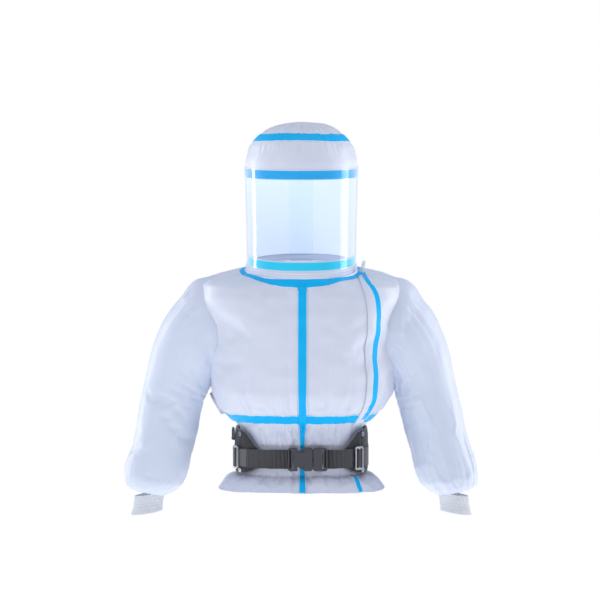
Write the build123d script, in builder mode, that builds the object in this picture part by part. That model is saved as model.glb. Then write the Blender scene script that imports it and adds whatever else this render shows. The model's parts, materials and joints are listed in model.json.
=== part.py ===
from build123d import *
import os
from math import atan2, cos, pi, radians, sin, tan

# Powered air respirator: an inflated hooded half suit with a clear wrap visor, sealed with
# blue tape, a padded waist belt, and a belt-carried blower that feeds the hood by a hose.
#
# Millimetres. +Z is up, the wearer faces -Y, and the wearer's left is +X.
# The origin is the middle of the waist ring that the belt closes.

os.makedirs("parts", exist_ok=True)

# ---------------------------------------------------------------- driving dimensions
FABRIC = 2.5  # wall of the inflated fabric solids
TAPE = 0.8  # thickness of a seam tape
LAYER_1, LAYER_2, LAYER_3 = 0.2, 1.2, 2.4  # how far stacked layers stand off the fabric
FILM = 1.0  # visor film
TAPE_WIDTH = 20
WAIST_SEAM = 70  # height where the bodice meets the skirt
HEM = -70
NECK_HEIGHT, NECK_TILT = 406, 4.5  # the collar's plane, lower at the front
COLLAR_TALL = 15
CROWN_SEAM, CROWN_TILT = 680, -4  # the crown tape's plane, lower at the back
VISOR_TOP, VISOR_WRAP = 619, 20  # top edge, and how far back the film reaches

# Trunk outline: height, half width, half depth, middle y, corner share, tilt to the front
TRUNK = [
    (HEM, 178, 128, -14, 0.82, 0),
    (-56, 166, 122, -10, 0.82, 0),
    (-44, 150, 112, -4, 0.82, 0),
    (-36, 130, 103, 0, 0.82, 0),
    (22, 129, 102, 0, 0.82, 0),
    (61, 132, 103, 0, 0.82, 0),
    (80, 153, 119, -6, 0.82, 0),
    (108, 177, 136, -9, 0.82, 0),
    (150, 191, 145, -9, 0.82, 0),
    (215, 192, 149, -9, 0.82, 0),
    (300, 200, 149, -8, 0.82, 0),
    (345, 209, 146, -6, 0.82, 1.5),
    (366, 208, 144, -5, 0.82, 3),
    (380, 196, 143, -4, 0.84, NECK_TILT),
    (389.5, 165, 142, -3, 0.9, NECK_TILT),
    (395, 132, 141, -1, 0.95, NECK_TILT),
    (399, 118, 140, 0, 0.97, NECK_TILT),
    (425, 116, 140, 0, 0.97, NECK_TILT),
]
# Hood outline, in the same form
HOOD = [
    (380, 116, 140, 0, 0.97, 0),
    (500, 118, 143, 0, 0.97, 0),
    (600, 120.5, 146, 0, 0.97, 0),
    (628, 121, 146, 0, 0.97, 0),
    (656, 113, 137, 2, 0.97, 0),
    (677, 101, 124, 4, 0.97, 0),
    (694, 82, 103, 5, 0.97, 0),
    (706, 60, 78, 6, 0.97, 0),
    (713, 34, 46, 7, 0.97, 0),
    (716, 12, 16, 7, 0.97, 0),
]
# Sleeve outline: outer point (x, z), inner point (x, z), half depth, middle y
SLEEVE = [
    ((178, 386), (160, 168), 98, -4),
    ((222, 378), (183, 166), 94, -4),
    ((264, 335), (189, 160), 87, -5),
    ((296, 288), (194, 152), 80, -6),
    ((319, 228), (200, 140), 73, -7),
    ((335, 160), (208, 120), 68, -9),
    ((350, 98), (220, 72), 66, -13),
    ((364, 30), (236, 8), 65, -19),
    ((380, -36), (254, -58), 63, -25),
    ((377, -60), (273, -77), 52, -28),
    ((361, -76), (291, -87), 35, -30),
]
CUFF_LONG, CUFF_RADIUS = 42, 34
VALVE_RADIUS = 28

BELT_TALL, WEBBING = 40, 2.2
BELT_HALF_WIDTH, BELT_FRONT, BELT_BACK, BELT_CORNER = 142.6, 108, 120, 85
PAD_TOP, PAD_BOTTOM, PAD_TIP_X = 60, -35, 92
BUCKLE_X, BUCKLE_LONG, BUCKLE_TALL, BUCKLE_THICK = 13.5, 85, 50, 13

CASE_HALF_WIDTH, CASE_TOP, CASE_BOTTOM, CASE_CORNER, CASE_WALL = 90, 52, -92, 22, 2.5
CASE_FRONT, CASE_SPLIT, CASE_BACK = 128, 166, 200  # depths along Y
FAN_X, FAN_Z, FAN_RADIUS = -32, -2, 33
SCROLL_LOW, SCROLL_HIGH = 148, 176
FILTER_RADIUS, FILTER_CAP_BACK = 48, 220
OUTLET_X, OUTLET_Y = 54, 163
HOSE_RADIUS, HOSE_BORE = 16, 13
HOSE_LOW, HOSE_HIGH = 82, 400  # heights of the hose's two ends
INLET_Z, ELBOW_BEND, ELBOW_START = 455, 20, 150
NUT_TALL = 16


# ---------------------------------------------------------------- helpers
def save(piece, name):
    """Labels a finished piece and writes it as its own STEP file."""
    piece.label = name
    export_step(piece, f"parts/{name}.step")


def tilted(height, tilt, lift=0.0):
    """A plane across the model that leans down by tilt degrees toward the front."""
    normal = (0, -sin(radians(tilt)), cos(radians(tilt)))
    return Plane(origin=(0, 0, height), x_dir=(1, 0, 0), z_dir=normal).offset(lift)


def neck(lift):
    """A plane parallel to the collar's, measured from the collar's middle."""
    return tilted(NECK_HEIGHT, NECK_TILT, lift)


def lofted(outline, grow=0.0):
    """A solid through an outline's rounded sections, moved outward by grow along its slope."""
    with BuildPart() as volume:
        for i, (height, half_width, half_depth, middle, corner, tilt) in enumerate(outline):
            below, above = outline[max(i - 1, 0)], outline[min(i + 1, len(outline) - 1)]
            slope_side = atan2(above[0] - below[0], above[1] - below[1])
            slope_front = atan2(above[0] - below[0], above[2] - below[2])
            lift = -grow * cos(slope_side)
            wide = half_width + grow * max(sin(slope_side), 0.3)
            deep = half_depth + grow * max(sin(slope_front), 0.3)
            with BuildSketch(tilted(height, tilt, lift)):
                with Locations((0, middle)):
                    RectangleRounded(2 * wide, 2 * deep, corner * min(wide, deep))
        loft(ruled=True)
    return volume.part


def common(piece, *tools):
    """What a piece shares with every tool."""
    with BuildPart() as shared:
        add(piece)
        for tool in tools:
            add(tool, mode=Mode.INTERSECT)
    return shared.part


def without(piece, *tools):
    """A piece with every tool cut away."""
    with BuildPart() as rest:
        add(piece)
        for tool in tools:
            add(tool, mode=Mode.SUBTRACT)
    return rest.part


def joined(*pieces):
    """Several pieces as one part; pieces that don't touch stay separate solids."""
    with BuildPart() as group:
        for piece in pieces:
            add(piece)
    return group.part


def between(piece, low=None, high=None):
    """The part of a piece above the plane low and below the plane high."""
    with BuildPart() as cut:
        add(piece)
        if low is not None:
            split(bisect_by=low, keep=Keep.TOP)
        if high is not None:
            split(bisect_by=high, keep=Keep.BOTTOM)
    return cut.part


def skin(outline, gap, thick):
    """A thin shell that stands off an outline by gap."""
    return without(lofted(outline, gap + thick), lofted(outline, gap))


def slab(low, high):
    """A plain box between two corners."""
    with BuildPart() as block:
        with Locations(tuple((a + b) / 2 for a, b in zip(low, high))):
            Box(*(b - a for a, b in zip(low, high)))
    return block.part


def front_prism(points, back=0):
    """Everything in front of y = back inside a front-view outline of (x, z) points."""
    with BuildPart() as prism:
        with BuildSketch(Plane.XZ.offset(-back)):
            with BuildLine():
                Polyline(*points, close=True)
            make_face()
        extrude(amount=300)
    return prism.part


def post(x, z, radius, y_low, y_high, bore=0.0):
    """A round post or tube along Y."""
    with BuildPart() as rod:
        with BuildSketch(Plane.XZ.offset(-y_high)):
            with Locations((x, z)):
                Circle(radius)
                if bore:
                    Circle(bore, mode=Mode.SUBTRACT)
        extrude(amount=y_high - y_low)
    return rod.part


def upright_tube(x, y, z_low, z_high, outer, inner):
    """A tube along Z."""
    with BuildPart() as tube:
        with BuildSketch(Plane.XY.offset(z_low)):
            with Locations((x, y)):
                Circle(outer)
                Circle(inner, mode=Mode.SUBTRACT)
        extrude(amount=z_high - z_low)
    return tube.part


def sleeve_volume(side, grow=0.0):
    """The filled sleeve on one side: +1 is the wearer's left."""
    with BuildPart() as volume:
        for (outer_x, outer_z), (inner_x, inner_z), half_depth, middle in SLEEVE:
            across = Vector(side * (outer_x - inner_x), 0, outer_z - inner_z)
            centre = (side * (outer_x + inner_x) / 2, middle, (outer_z + inner_z) / 2)
            plane = Plane(origin=centre, x_dir=across, z_dir=across.cross(Vector(0, side, 0)))
            with BuildSketch(plane):
                Ellipse(across.length / 2 + grow, half_depth + grow)
        loft(ruled=True)
    return volume.part


def valve_plane(name, lift=0.0):
    """Where an exhaust valve sits, its axis pointing out of the suit."""
    if name == "side":
        seat = Plane(origin=(-176, 20, 112), x_dir=(0, 1, 0), z_dir=(-0.87, 0, -0.49))
    else:
        seat = Plane(origin=(-72, 139, 296), x_dir=(1, 0, 0), z_dir=(0, 1, 0))
    return seat.offset(lift)


# ---------------------------------------------------------------- trunk and sleeves
trunk_solid = lofted(TRUNK)
trunk_wall = without(trunk_solid, lofted(TRUNK, -FABRIC))
valve_bores = []
for valve in ("side", "back"):
    with BuildPart() as bore:
        with BuildSketch(valve_plane(valve, -14)):
            Circle(VALVE_RADIUS)
        extrude(amount=34)
    valve_bores.append(bore.part)

seam_plane = Plane.XY.offset(WAIST_SEAM)
bodice_wall = between(trunk_wall, seam_plane, neck(-COLLAR_TALL / 2))
arm_bores = [sleeve_volume(side, -FABRIC) for side in (-1, 1)]
save(without(bodice_wall, *arm_bores, *valve_bores), "bodice")
save(between(trunk_wall, high=seam_plane), "waist_skirt")
for side, name, arm_bore in ((-1, "sleeve_right", arm_bores[0]), (1, "sleeve_left", arm_bores[1])):
    save(without(sleeve_volume(side), arm_bore, trunk_solid), name)

(cuff_out_x, cuff_out_z), (cuff_in_x, cuff_in_z), _, cuff_y = SLEEVE[-1]
cuff_centre = ((cuff_out_x + cuff_in_x) / 2, cuff_y, (cuff_out_z + cuff_in_z) / 2)
cuff_axis = (cuff_out_z - cuff_in_z, 0, cuff_in_x - cuff_out_x)
with BuildPart() as elastic_cuffs:
    with BuildSketch(Plane(origin=cuff_centre, x_dir=(0, 1, 0), z_dir=cuff_axis).offset(0.2)):
        Circle(CUFF_RADIUS)
        Circle(CUFF_RADIUS - FABRIC, mode=Mode.SUBTRACT)
    extrude(amount=CUFF_LONG)
    mirror(about=Plane.YZ)
save(elastic_cuffs.part, "elastic_cuffs")

# ---------------------------------------------------------------- hood and visor
WINDOW_RISE, WINDOW_TOP, WINDOW_WRAP = 22, 602, 4
hood_shell = without(lofted(HOOD), lofted(HOOD, -FABRIC))
crown_plane = tilted(CROWN_SEAM, CROWN_TILT)
visor_foot = neck(COLLAR_TALL / 2 + 1)
window_block = slab((-200, -200, 350), (200, WINDOW_WRAP, WINDOW_TOP))
window = between(window_block, low=neck(COLLAR_TALL / 2 + WINDOW_RISE))
inlet_bore = post(0, INLET_Z, 20, 100, 180)
hood_lower = between(hood_shell, neck(COLLAR_TALL / 2), crown_plane)
save(without(hood_lower, window, inlet_bore), "hood_wall")
save(between(hood_shell, low=crown_plane), "hood_crown")

front_block = slab((-200, -200, 300), (200, VISOR_WRAP, VISOR_TOP))
save(between(common(skin(HOOD, LAYER_2, FILM), front_block), low=visor_foot), "visor_film")

hood_layer = skin(HOOD, LAYER_1, TAPE)
crown_band = between(hood_layer, tilted(CROWN_SEAM, CROWN_TILT, -9), tilted(CROWN_SEAM, CROWN_TILT, 9))
front_layer = between(common(hood_layer, front_block), low=visor_foot)
band_foot = Plane.XY.offset(VISOR_TOP - 22)
top_band = between(front_layer, low=band_foot)
low_band_edge = neck(COLLAR_TALL / 2 + 1 + TAPE_WIDTH)
low_band = between(front_layer, high=low_band_edge)
side_block = slab((-200, 2, 300), (200, VISOR_WRAP, 700))
side_bands = common(between(front_layer, low_band_edge, band_foot), side_block)
save(joined(crown_band, top_band, low_band, side_bands), "hood_tapes")

with BuildPart() as neck_collar:
    with BuildSketch(neck(-COLLAR_TALL / 2)):
        RectangleRounded(2 * 119, 2 * 143.5, 116)
        RectangleRounded(2 * 113, 2 * 137.5, 110, mode=Mode.SUBTRACT)
    extrude(amount=COLLAR_TALL)
save(neck_collar.part, "neck_collar")

# The soft duct that carries the air from the inlet up the hood's back and over the crown.
duct_block = slab((-26, 60, 420), (26, 170, 676))
duct_bore = post(0, INLET_Z, 21, 100, 170)
save(without(common(skin(HOOD, -11, 1.2), duct_block), duct_bore), "hood_duct")

# ---------------------------------------------------------------- seam tapes and front flap
with BuildPart() as neck_prism:
    with BuildSketch(neck(-60)):
        RectangleRounded(2 * 131, 2 * 170, 129)
    extrude(amount=80)
tape_layer = skin(TRUNK, LAYER_1, TAPE)
neck_tape_foot = neck(-COLLAR_TALL / 2 - 23)
neck_band = between(tape_layer, neck_tape_foot, neck(-COLLAR_TALL / 2 - 0.6))
save(common(neck_band, neck_prism.part), "neck_tape")
waist_band = between(tape_layer, Plane.XY.offset(75), Plane.XY.offset(95))
save(without(waist_band, *valve_bores), "waist_tape")

CENTRE_TAPE_X, CENTRE_TAPE_HALF = 2, 10
centre_layer = between(skin(TRUNK, LAYER_2, TAPE), Plane.XY.offset(HEM + 1), neck_tape_foot.offset(-0.5))
centre_block = slab(
    (CENTRE_TAPE_X - CENTRE_TAPE_HALF, -200, HEM), (CENTRE_TAPE_X + CENTRE_TAPE_HALF, 0, 400)
)
save(common(centre_layer, centre_block), "centre_tape")

FLAP_INNER = [(121, 392), (133, 358), (139, 300), (139, 174), (133, 126), (123, 94), (106, 66)]
FLAP_OUTER = [(124, 66), (135, 83), (146, 97), (158, 126), (163, 173)]
FLAP_OUTER += [(166, 236), (169, 300), (166, 341), (148, 379), (133, 396)]
FLAP_BACK = -45  # the flap ends beside the neck, this far forward of the suit's middle
flap_layer = between(skin(TRUNK, LAYER_2, TAPE), Plane.XY.offset(66), neck(-COLLAR_TALL / 2 - 1))
save(common(flap_layer, front_prism(FLAP_INNER + FLAP_OUTER, FLAP_BACK)), "front_flap")
flap_edge = FLAP_OUTER[2:9]
flap_edge_inside = [(x - 13, z) for x, z in reversed(flap_edge)]
edge_layer = between(skin(TRUNK, LAYER_3, TAPE), Plane.XY.offset(84), neck(-COLLAR_TALL / 2 - 4))
save(common(edge_layer, front_prism(flap_edge_inside + flap_edge, FLAP_BACK)), "flap_tape")
ZIP_X, ZIP_WIDE = 149, 9
zip_layer = between(tape_layer, Plane.XY.offset(98), Plane.XY.offset(360))
zip_block = slab((ZIP_X - ZIP_WIDE / 2, -200, 90), (ZIP_X + ZIP_WIDE / 2, 0, 380))
save(common(zip_layer, zip_block), "zip_chain")

# ---------------------------------------------------------------- zip slider and pull
slider_base = Plane(origin=(128.5, -52, 397), x_dir=(0.35, -0.93, -0.0902), z_dir=(0.25, 0, 0.97))
SLIDER_LONG, BRIDGE_LOW, BRIDGE_HIGH, PULL_HINGE = 15, 9.6, 11.0, 10.3
with BuildPart() as zip_slider:
    with BuildSketch(slider_base):
        SlotOverall(SLIDER_LONG, 9)
    extrude(amount=1.6)
    with BuildSketch(slider_base.offset(1.6)):
        Rectangle(4, 3)
    extrude(amount=1.6)
    with BuildSketch(slider_base.offset(3.2)):
        SlotOverall(SLIDER_LONG, 9)
    extrude(amount=1.6)
    with BuildSketch(slider_base.offset(4.8)):
        with GridLocations(SLIDER_LONG - 3, 1, 2, 1):
            Rectangle(1.4, 2.4)
    extrude(amount=BRIDGE_HIGH - 4.8)
    with BuildSketch(slider_base.offset(BRIDGE_LOW)):
        Rectangle(SLIDER_LONG - 1.6, 2.4)
    extrude(amount=BRIDGE_HIGH - BRIDGE_LOW)
save(zip_slider.part, "zip_slider")

pull_origin = slider_base.offset(PULL_HINGE).origin
pull_plane = Plane(origin=pull_origin, x_dir=slider_base.y_dir, z_dir=slider_base.x_dir)
with BuildPart() as zip_pull:
    with BuildSketch(pull_plane.offset(-1)):
        with Locations((0, 5)):
            RectangleRounded(7.2, 19.2, 2.4)
        Rectangle(3.4, 6, mode=Mode.SUBTRACT)
        with Locations((0, 11)):
            Circle(1.6, mode=Mode.SUBTRACT)
    extrude(amount=2)
save(zip_pull.part, "zip_pull")
print("zip pull hinge", pull_origin, slider_base.y_dir)

# ---------------------------------------------------------------- exhaust valves
valve_seats, valve_caps = [], []
for valve in ("side", "back"):
    with BuildPart() as seat:
        with BuildSketch(valve_plane(valve, -6)):
            Circle(VALVE_RADIUS - 0.1)
            Circle(19, mode=Mode.SUBTRACT)
        extrude(amount=11)
        with BuildSketch(valve_plane(valve, -3)):
            Circle(19.5)
            Circle(16.5, mode=Mode.SUBTRACT)
            for turn in (0, 60, 120):
                Rectangle(37, 3, rotation=turn)
            Circle(5)
        extrude(amount=2.5)
        with BuildSketch(valve_plane(valve, -0.5)):
            Circle(2)
        extrude(amount=5)
    valve_seats.append(seat.part)
    with BuildPart() as disc:
        with BuildSketch(valve_plane(valve, -0.4)):
            Circle(18.4)
            Circle(2.3, mode=Mode.SUBTRACT)
        extrude(amount=1.2)
    save(disc.part, f"{valve}_valve_disc")
    with BuildPart() as cap:
        with BuildSketch(valve_plane(valve, 5.1)):
            Circle(VALVE_RADIUS - 1.5)
        extrude(amount=5.5)
        with BuildSketch(valve_plane(valve, 5.1)):
            Circle(VALVE_RADIUS - 4)
        extrude(amount=3.5, mode=Mode.SUBTRACT)
        with BuildSketch(valve_plane(valve, 4)):
            with PolarLocations(15, 8):
                SlotOverall(12, 4.5)
        extrude(amount=8, mode=Mode.SUBTRACT)
    valve_caps.append(cap.part)
save(joined(*valve_seats), "valve_seats")
save(joined(*valve_caps), "valve_caps")

# ---------------------------------------------------------------- waist belt
BELT_MIDDLE = (BELT_BACK - BELT_FRONT) / 2
BELT_HALF_DEPTH = (BELT_BACK + BELT_FRONT) / 2
SOCKET_END, PLUG_END = BUCKLE_X - BUCKLE_LONG / 2, BUCKLE_X + BUCKLE_LONG / 2


def belt_block(out, low, high):
    """A filled block inside the belt's inner face grown outward by out."""
    with BuildPart() as block:
        with BuildSketch(Plane.XY.offset(low)):
            with Locations((0, BELT_MIDDLE)):
                wide, deep = BELT_HALF_WIDTH + out, BELT_HALF_DEPTH + out
                RectangleRounded(2 * wide, 2 * deep, BELT_CORNER + out)
        extrude(amount=high - low)
    return block.part


def belt_plane(side, angle, out, height=0):
    """A plane on the belt's front corner: angle 90 faces the front, 0 faces sideways."""
    facing = Vector(side * cos(radians(angle)), -sin(radians(angle)), 0)
    corner_x = side * (BELT_HALF_WIDTH - BELT_CORNER)
    corner = Vector(corner_x, BELT_MIDDLE - BELT_HALF_DEPTH + BELT_CORNER, height)
    origin = corner + facing * (BELT_CORNER + out)
    return Plane(origin=origin, x_dir=(-facing.Y, facing.X, 0), z_dir=facing)


half_tall = BELT_TALL / 2
belt_band = without(belt_block(WEBBING, -half_tall, half_tall), belt_block(0, -half_tall, half_tall))
buckle_gap = slab((SOCKET_END + 8, -200, -50), (PLUG_END - 8, 0, 50))
fold_band = without(
    belt_block(2 * WEBBING + 0.3, -half_tall, half_tall), belt_block(WEBBING + 0.3, -half_tall, half_tall)
)
fold_right = common(fold_band, slab((-116, -200, -50), (SOCKET_END - 0.3, 0, 50)))
fold_left = common(fold_band, slab((PLUG_END + 0.3, -200, -50), (108, 0, 50)))
RING_ANGLE, RING_PIVOT, RING_BAR = 8, 38, 1.75
ring_base = belt_plane(-1, RING_ANGLE, 4.6)
with BuildPart() as ring_staple:
    with BuildSketch(ring_base.offset(-4.3)):
        with Locations((0, RING_PIVOT)):
            Rectangle(10, 8)
    extrude(amount=8.3)
    with Locations(Plane(origin=ring_base.from_local_coords((0, RING_PIVOT, 0)), z_dir=ring_base.x_dir)):
        Cylinder(RING_BAR + 0.08, 20, mode=Mode.SUBTRACT)
save(joined(without(belt_band, buckle_gap), fold_right, fold_left, ring_staple.part), "belt_webbing")

RING_WIDE, RING_TALL = 26, 24
with BuildPart() as side_ring:
    with BuildSketch(ring_base.offset(-RING_BAR)):
        with Locations((0, RING_PIVOT + RING_TALL / 2)):
            RectangleRounded(RING_WIDE, RING_TALL, 8)
            RectangleRounded(RING_WIDE - 4 * RING_BAR, RING_TALL - 4 * RING_BAR, 5, mode=Mode.SUBTRACT)
        with Locations((0, RING_PIVOT)):
            Rectangle(RING_WIDE + 2, 14, mode=Mode.SUBTRACT)
        with GridLocations(RING_WIDE - 2 * RING_BAR, 1, 2, 1):
            with Locations((0, RING_PIVOT + 3)):
                Rectangle(2 * RING_BAR, 9)
    extrude(amount=2 * RING_BAR)
    with Locations(Plane(origin=ring_base.from_local_coords((0, RING_PIVOT, 0)), z_dir=ring_base.x_dir)):
        Cylinder(RING_BAR, RING_WIDE)
save(side_ring.part, "side_ring")
print("side ring pivot", ring_base.from_local_coords((0, RING_PIVOT, 0)), ring_base.x_dir)

with BuildPart() as pad_inside:
    with BuildSketch(Plane.XY.offset(PAD_BOTTOM)):
        with Locations((0, 1)):
            RectangleRounded(2 * 133.2, 2 * 104.6, BELT_CORNER - 1)
    extrude(amount=PAD_TOP - PAD_BOTTOM)
pad_ring = without(belt_block(-0.3, PAD_BOTTOM, PAD_TOP), pad_inside.part)
wing_outline = [
    (PAD_TIP_X, BELT_TALL / 2 + 3),
    (PAD_TIP_X + 24, PAD_TOP - 6),
    (PAD_TIP_X + 34, PAD_TOP + 1),
    (200, PAD_TOP + 1),
    (200, PAD_BOTTOM - 1),
    (PAD_TIP_X + 26, PAD_BOTTOM - 1),
    (PAD_TIP_X, -BELT_TALL / 2 - 3),
]
wing_regions = [front_prism(wing_outline), front_prism([(-x, z) for x, z in wing_outline])]
pad_region = joined(*wing_regions, slab((-200, 0, -100), (200, 200, 100)))
EYELETS = [(-1, 50), (1, 50), (-1, -27), (1, -27)]
eyelet_planes = [belt_plane(side, 30, -12, z) for side, z in EYELETS]
with BuildPart() as belt_pad:
    add(common(pad_ring, pad_region))
    for plane in eyelet_planes:
        with BuildSketch(plane):
            Circle(3)
        extrude(amount=20, mode=Mode.SUBTRACT)
save(belt_pad.part, "belt_pad")
with BuildPart() as pad_eyelets:
    for plane in eyelet_planes:
        with BuildSketch(plane.offset(3)):
            Circle(2.9)
            Circle(1.8, mode=Mode.SUBTRACT)
        extrude(amount=9.2)
        with BuildSketch(plane.offset(12)):
            Circle(5.5)
            Circle(1.8, mode=Mode.SUBTRACT)
        extrude(amount=1.2)
save(pad_eyelets.part, "pad_eyelets")

# Ladder slides: frames with a middle bar, standing on the webbing at each side.
with BuildPart() as webbing_slides:
    for side, angle in ((1, 44), (-1, 24)):
        with BuildSketch(belt_plane(side, angle, 5.0)):
            RectangleRounded(24, 50, 4)
            with GridLocations(11, 1, 2, 1):
                RectangleRounded(7, 42, 1.5, mode=Mode.SUBTRACT)
        extrude(amount=3)
save(webbing_slides.part, "webbing_slides")

# ---------------------------------------------------------------- side-release buckle
BUCKLE_Y = -BELT_FRONT - WEBBING - 0.3
BUCKLE_SPLIT = BUCKLE_X + 11
PRONG_LOW, PRONG_THICK = 3.2, 6.6  # depths in front of the buckle's back face
PRONG_ROOT_Z = 7.75


def buckle_cutter(x_low, x_high, z_half, depth_low=-5, depth_high=20, z_middle=0):
    """A box that cuts the buckle between two depths measured from its back face."""
    low = (x_low, BUCKLE_Y - depth_high, z_middle - z_half)
    return slab(low, (x_high, BUCKLE_Y - depth_low, z_middle + z_half))


def buckle_block(x_low, x_high):
    """One half of the buckle's body, its front edges softened."""
    with BuildPart() as block:
        with BuildSketch(Plane.XZ.offset(-BUCKLE_Y)):
            with Locations(((x_low + x_high) / 2, 0)):
                RectangleRounded(x_high - x_low, BUCKLE_TALL, 6)
        extrude(amount=BUCKLE_THICK)
        fillet(block.faces().sort_by(Axis.Y)[0].edges(), 2.5)
    return block.part


socket_cuts = [buckle_cutter(SOCKET_END + 14, BUCKLE_SPLIT + 9, 20.5, 2.5, 10.5)]
socket_cuts += [buckle_cutter(BUCKLE_X - 22, BUCKLE_X - 7, 6.5, z_middle=side * 22.5) for side in (-1, 1)]
socket_cuts += [buckle_cutter(x, x + 3.2, 20.6) for x in (SOCKET_END + 3.5, SOCKET_END + 9)]
save(without(buckle_block(SOCKET_END, BUCKLE_SPLIT), *socket_cuts), "buckle_socket")

plug_cuts = [buckle_cutter(x, x + 3.2, 20.6) for x in (PLUG_END - 12, PLUG_END - 6.5)]
tongue = buckle_cutter(SOCKET_END + 18, BUCKLE_SPLIT + 2, 4, PRONG_LOW, PRONG_LOW + PRONG_THICK)
plug_body = without(buckle_block(BUCKLE_SPLIT + 0.5, PLUG_END), *plug_cuts)
save(joined(plug_body, tongue), "buckle_plug")
for side, name in ((1, "upper_prong"), (-1, "lower_prong")):
    with BuildPart() as prong:
        with BuildSketch(Plane.XZ.offset(-BUCKLE_Y + PRONG_LOW)):
            with BuildLine():
                Polyline(
                    (BUCKLE_SPLIT - 0.2, side * (PRONG_ROOT_Z + 2.2)),
                    (BUCKLE_X - 7.4, side * 13.5),
                    (BUCKLE_X - 7.4, side * 23),
                    (BUCKLE_X - 15, side * 20),
                    (BUCKLE_X - 22, side * 14.5),
                    (BUCKLE_X - 22, side * 10.5),
                    (BUCKLE_X - 12, side * 9),
                    (BUCKLE_SPLIT - 0.2, side * (PRONG_ROOT_Z - 2.2)),
                    close=True,
                )
            make_face()
        extrude(amount=PRONG_THICK)
    save(prong.part, name)

# ---------------------------------------------------------------- blower hanger and case
def case_block(y_low, y_high, inset=0.0):
    """A block with the blower's rounded outline, between two depths."""
    with BuildPart() as block:
        with BuildSketch(Plane.XZ.offset(-y_high)):
            with Locations((0, (CASE_TOP + CASE_BOTTOM) / 2)):
                wide, tall = 2 * (CASE_HALF_WIDTH - inset), CASE_TOP - CASE_BOTTOM - 2 * inset
                RectangleRounded(wide, tall, CASE_CORNER - inset)
        extrude(amount=y_high - y_low)
    return block.part


HANGER_FRONT = BELT_BACK + WEBBING + 0.2
HANGER_SCREWS = [(-38, -16), (38, -16), (-38, 16), (38, 16)]
CASE_SCREWS = [(-81, 36), (24, 42), (81, 36), (-81, -79), (81, -79)]
hanger_holes = [post(x, z, 2.1, 110, 140) for x, z in HANGER_SCREWS]
with BuildPart() as hanger:
    with BuildSketch(Plane.XZ.offset(-CASE_FRONT)):
        RectangleRounded(108, 58, 8)
    extrude(amount=CASE_FRONT - HANGER_FRONT)
save(without(hanger.part, *hanger_holes), "belt_hanger")

BAY_LOW, BAY_HIGH = (-72, 137, CASE_BOTTOM - 5), (72, 191, -56)
bay = slab(BAY_LOW, BAY_HIGH)
bay_walls = without(
    slab((-75, CASE_FRONT + CASE_WALL, CASE_BOTTOM + 0.5), (75, CASE_BACK - CASE_WALL, -53)), bay
)
with BuildPart() as outlet_bore:
    with BuildSketch(Plane.XY.offset(CASE_TOP - 5)):
        with Locations((OUTLET_X, OUTLET_Y)):
            Circle(HOSE_RADIUS + 1.2)
    extrude(amount=10)
outlet_hole = outlet_bore.part
screw_holes = [post(x, z, 1.6, CASE_FRONT + 6, CASE_BACK + 5) for x, z in CASE_SCREWS]
head_holes = [post(x, z, 3.2, CASE_BACK - 3, CASE_BACK + 5) for x, z in CASE_SCREWS]
case_cavity = case_block(CASE_FRONT + CASE_WALL, CASE_BACK - CASE_WALL, CASE_WALL)
low_region = slab((-100, 0, -200), (100, CASE_SPLIT, 200))
high_region = slab((-100, CASE_SPLIT + 1.2, -200), (100, 300, 200))
low_posts = [post(x, z, 4.5, CASE_FRONT, CASE_SPLIT) for x, z in CASE_SCREWS]
low_shell = without(case_block(CASE_FRONT, CASE_SPLIT), case_cavity)
low_shell = joined(low_shell, common(bay_walls, low_region), *low_posts)
save(without(low_shell, bay, outlet_hole, *hanger_holes, *screw_holes), "blower_case")

gasket = without(case_block(CASE_SPLIT, CASE_SPLIT + 1.2), case_cavity, bay, outlet_hole)
save(gasket, "case_gasket")

BUTTONS = {"power_button": (52, 14, 8.0), "flow_button": (52, -10, 6.0)}
LATCH_WIDE, LATCH_TALL, LATCH_TRAVEL, LATCH_LOW = 34, 15, 5, -71.5
filter_hole = post(FAN_X, FAN_Z, FILTER_RADIUS + 1, 150, 230)
button_holes = [post(x, z, radius + 0.3, 190, 210) for x, z, radius in BUTTONS.values()]
light_hole = slab((38, 190, 30), (66, 210, 35))
latch_hole = slab(
    (-LATCH_WIDE / 2 - 0.5, 190, LATCH_LOW - 0.5),
    (LATCH_WIDE / 2 + 0.5, 210, LATCH_LOW + LATCH_TALL + LATCH_TRAVEL + 0.5),
)
with BuildPart() as cover_block:
    add(case_block(CASE_SPLIT + 1.2, CASE_BACK))
    fillet(cover_block.faces().sort_by(Axis.Y)[-1].edges(), 5)
high_posts = [post(x, z, 4.5, CASE_SPLIT + 1.2, CASE_BACK - 1) for x, z in CASE_SCREWS]
high_shell = joined(without(cover_block.part, case_cavity), common(bay_walls, high_region), *high_posts)
cover_cuts = [bay, outlet_hole, filter_hole, light_hole, latch_hole]
save(without(high_shell, *cover_cuts, *button_holes, *screw_holes, *head_holes), "blower_cover")

screws = [post(x, z, 1.5, CASE_FRONT + 8, CASE_BACK - 3) for x, z in CASE_SCREWS]
screws += [post(x, z, 3.0, CASE_BACK - 3, CASE_BACK - 0.6) for x, z in CASE_SCREWS]
screws += [post(x, z, 2.0, HANGER_FRONT, CASE_FRONT + CASE_WALL) for x, z in HANGER_SCREWS]
head_low = CASE_FRONT + CASE_WALL
screws += [post(x, z, 4.0, head_low, head_low + 2.2) for x, z in HANGER_SCREWS]
head_sockets = [post(x, z, 1.3, CASE_BACK - 1.8, CASE_BACK) for x, z in CASE_SCREWS]
save(without(joined(*screws), *head_sockets), "blower_screws")

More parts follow.
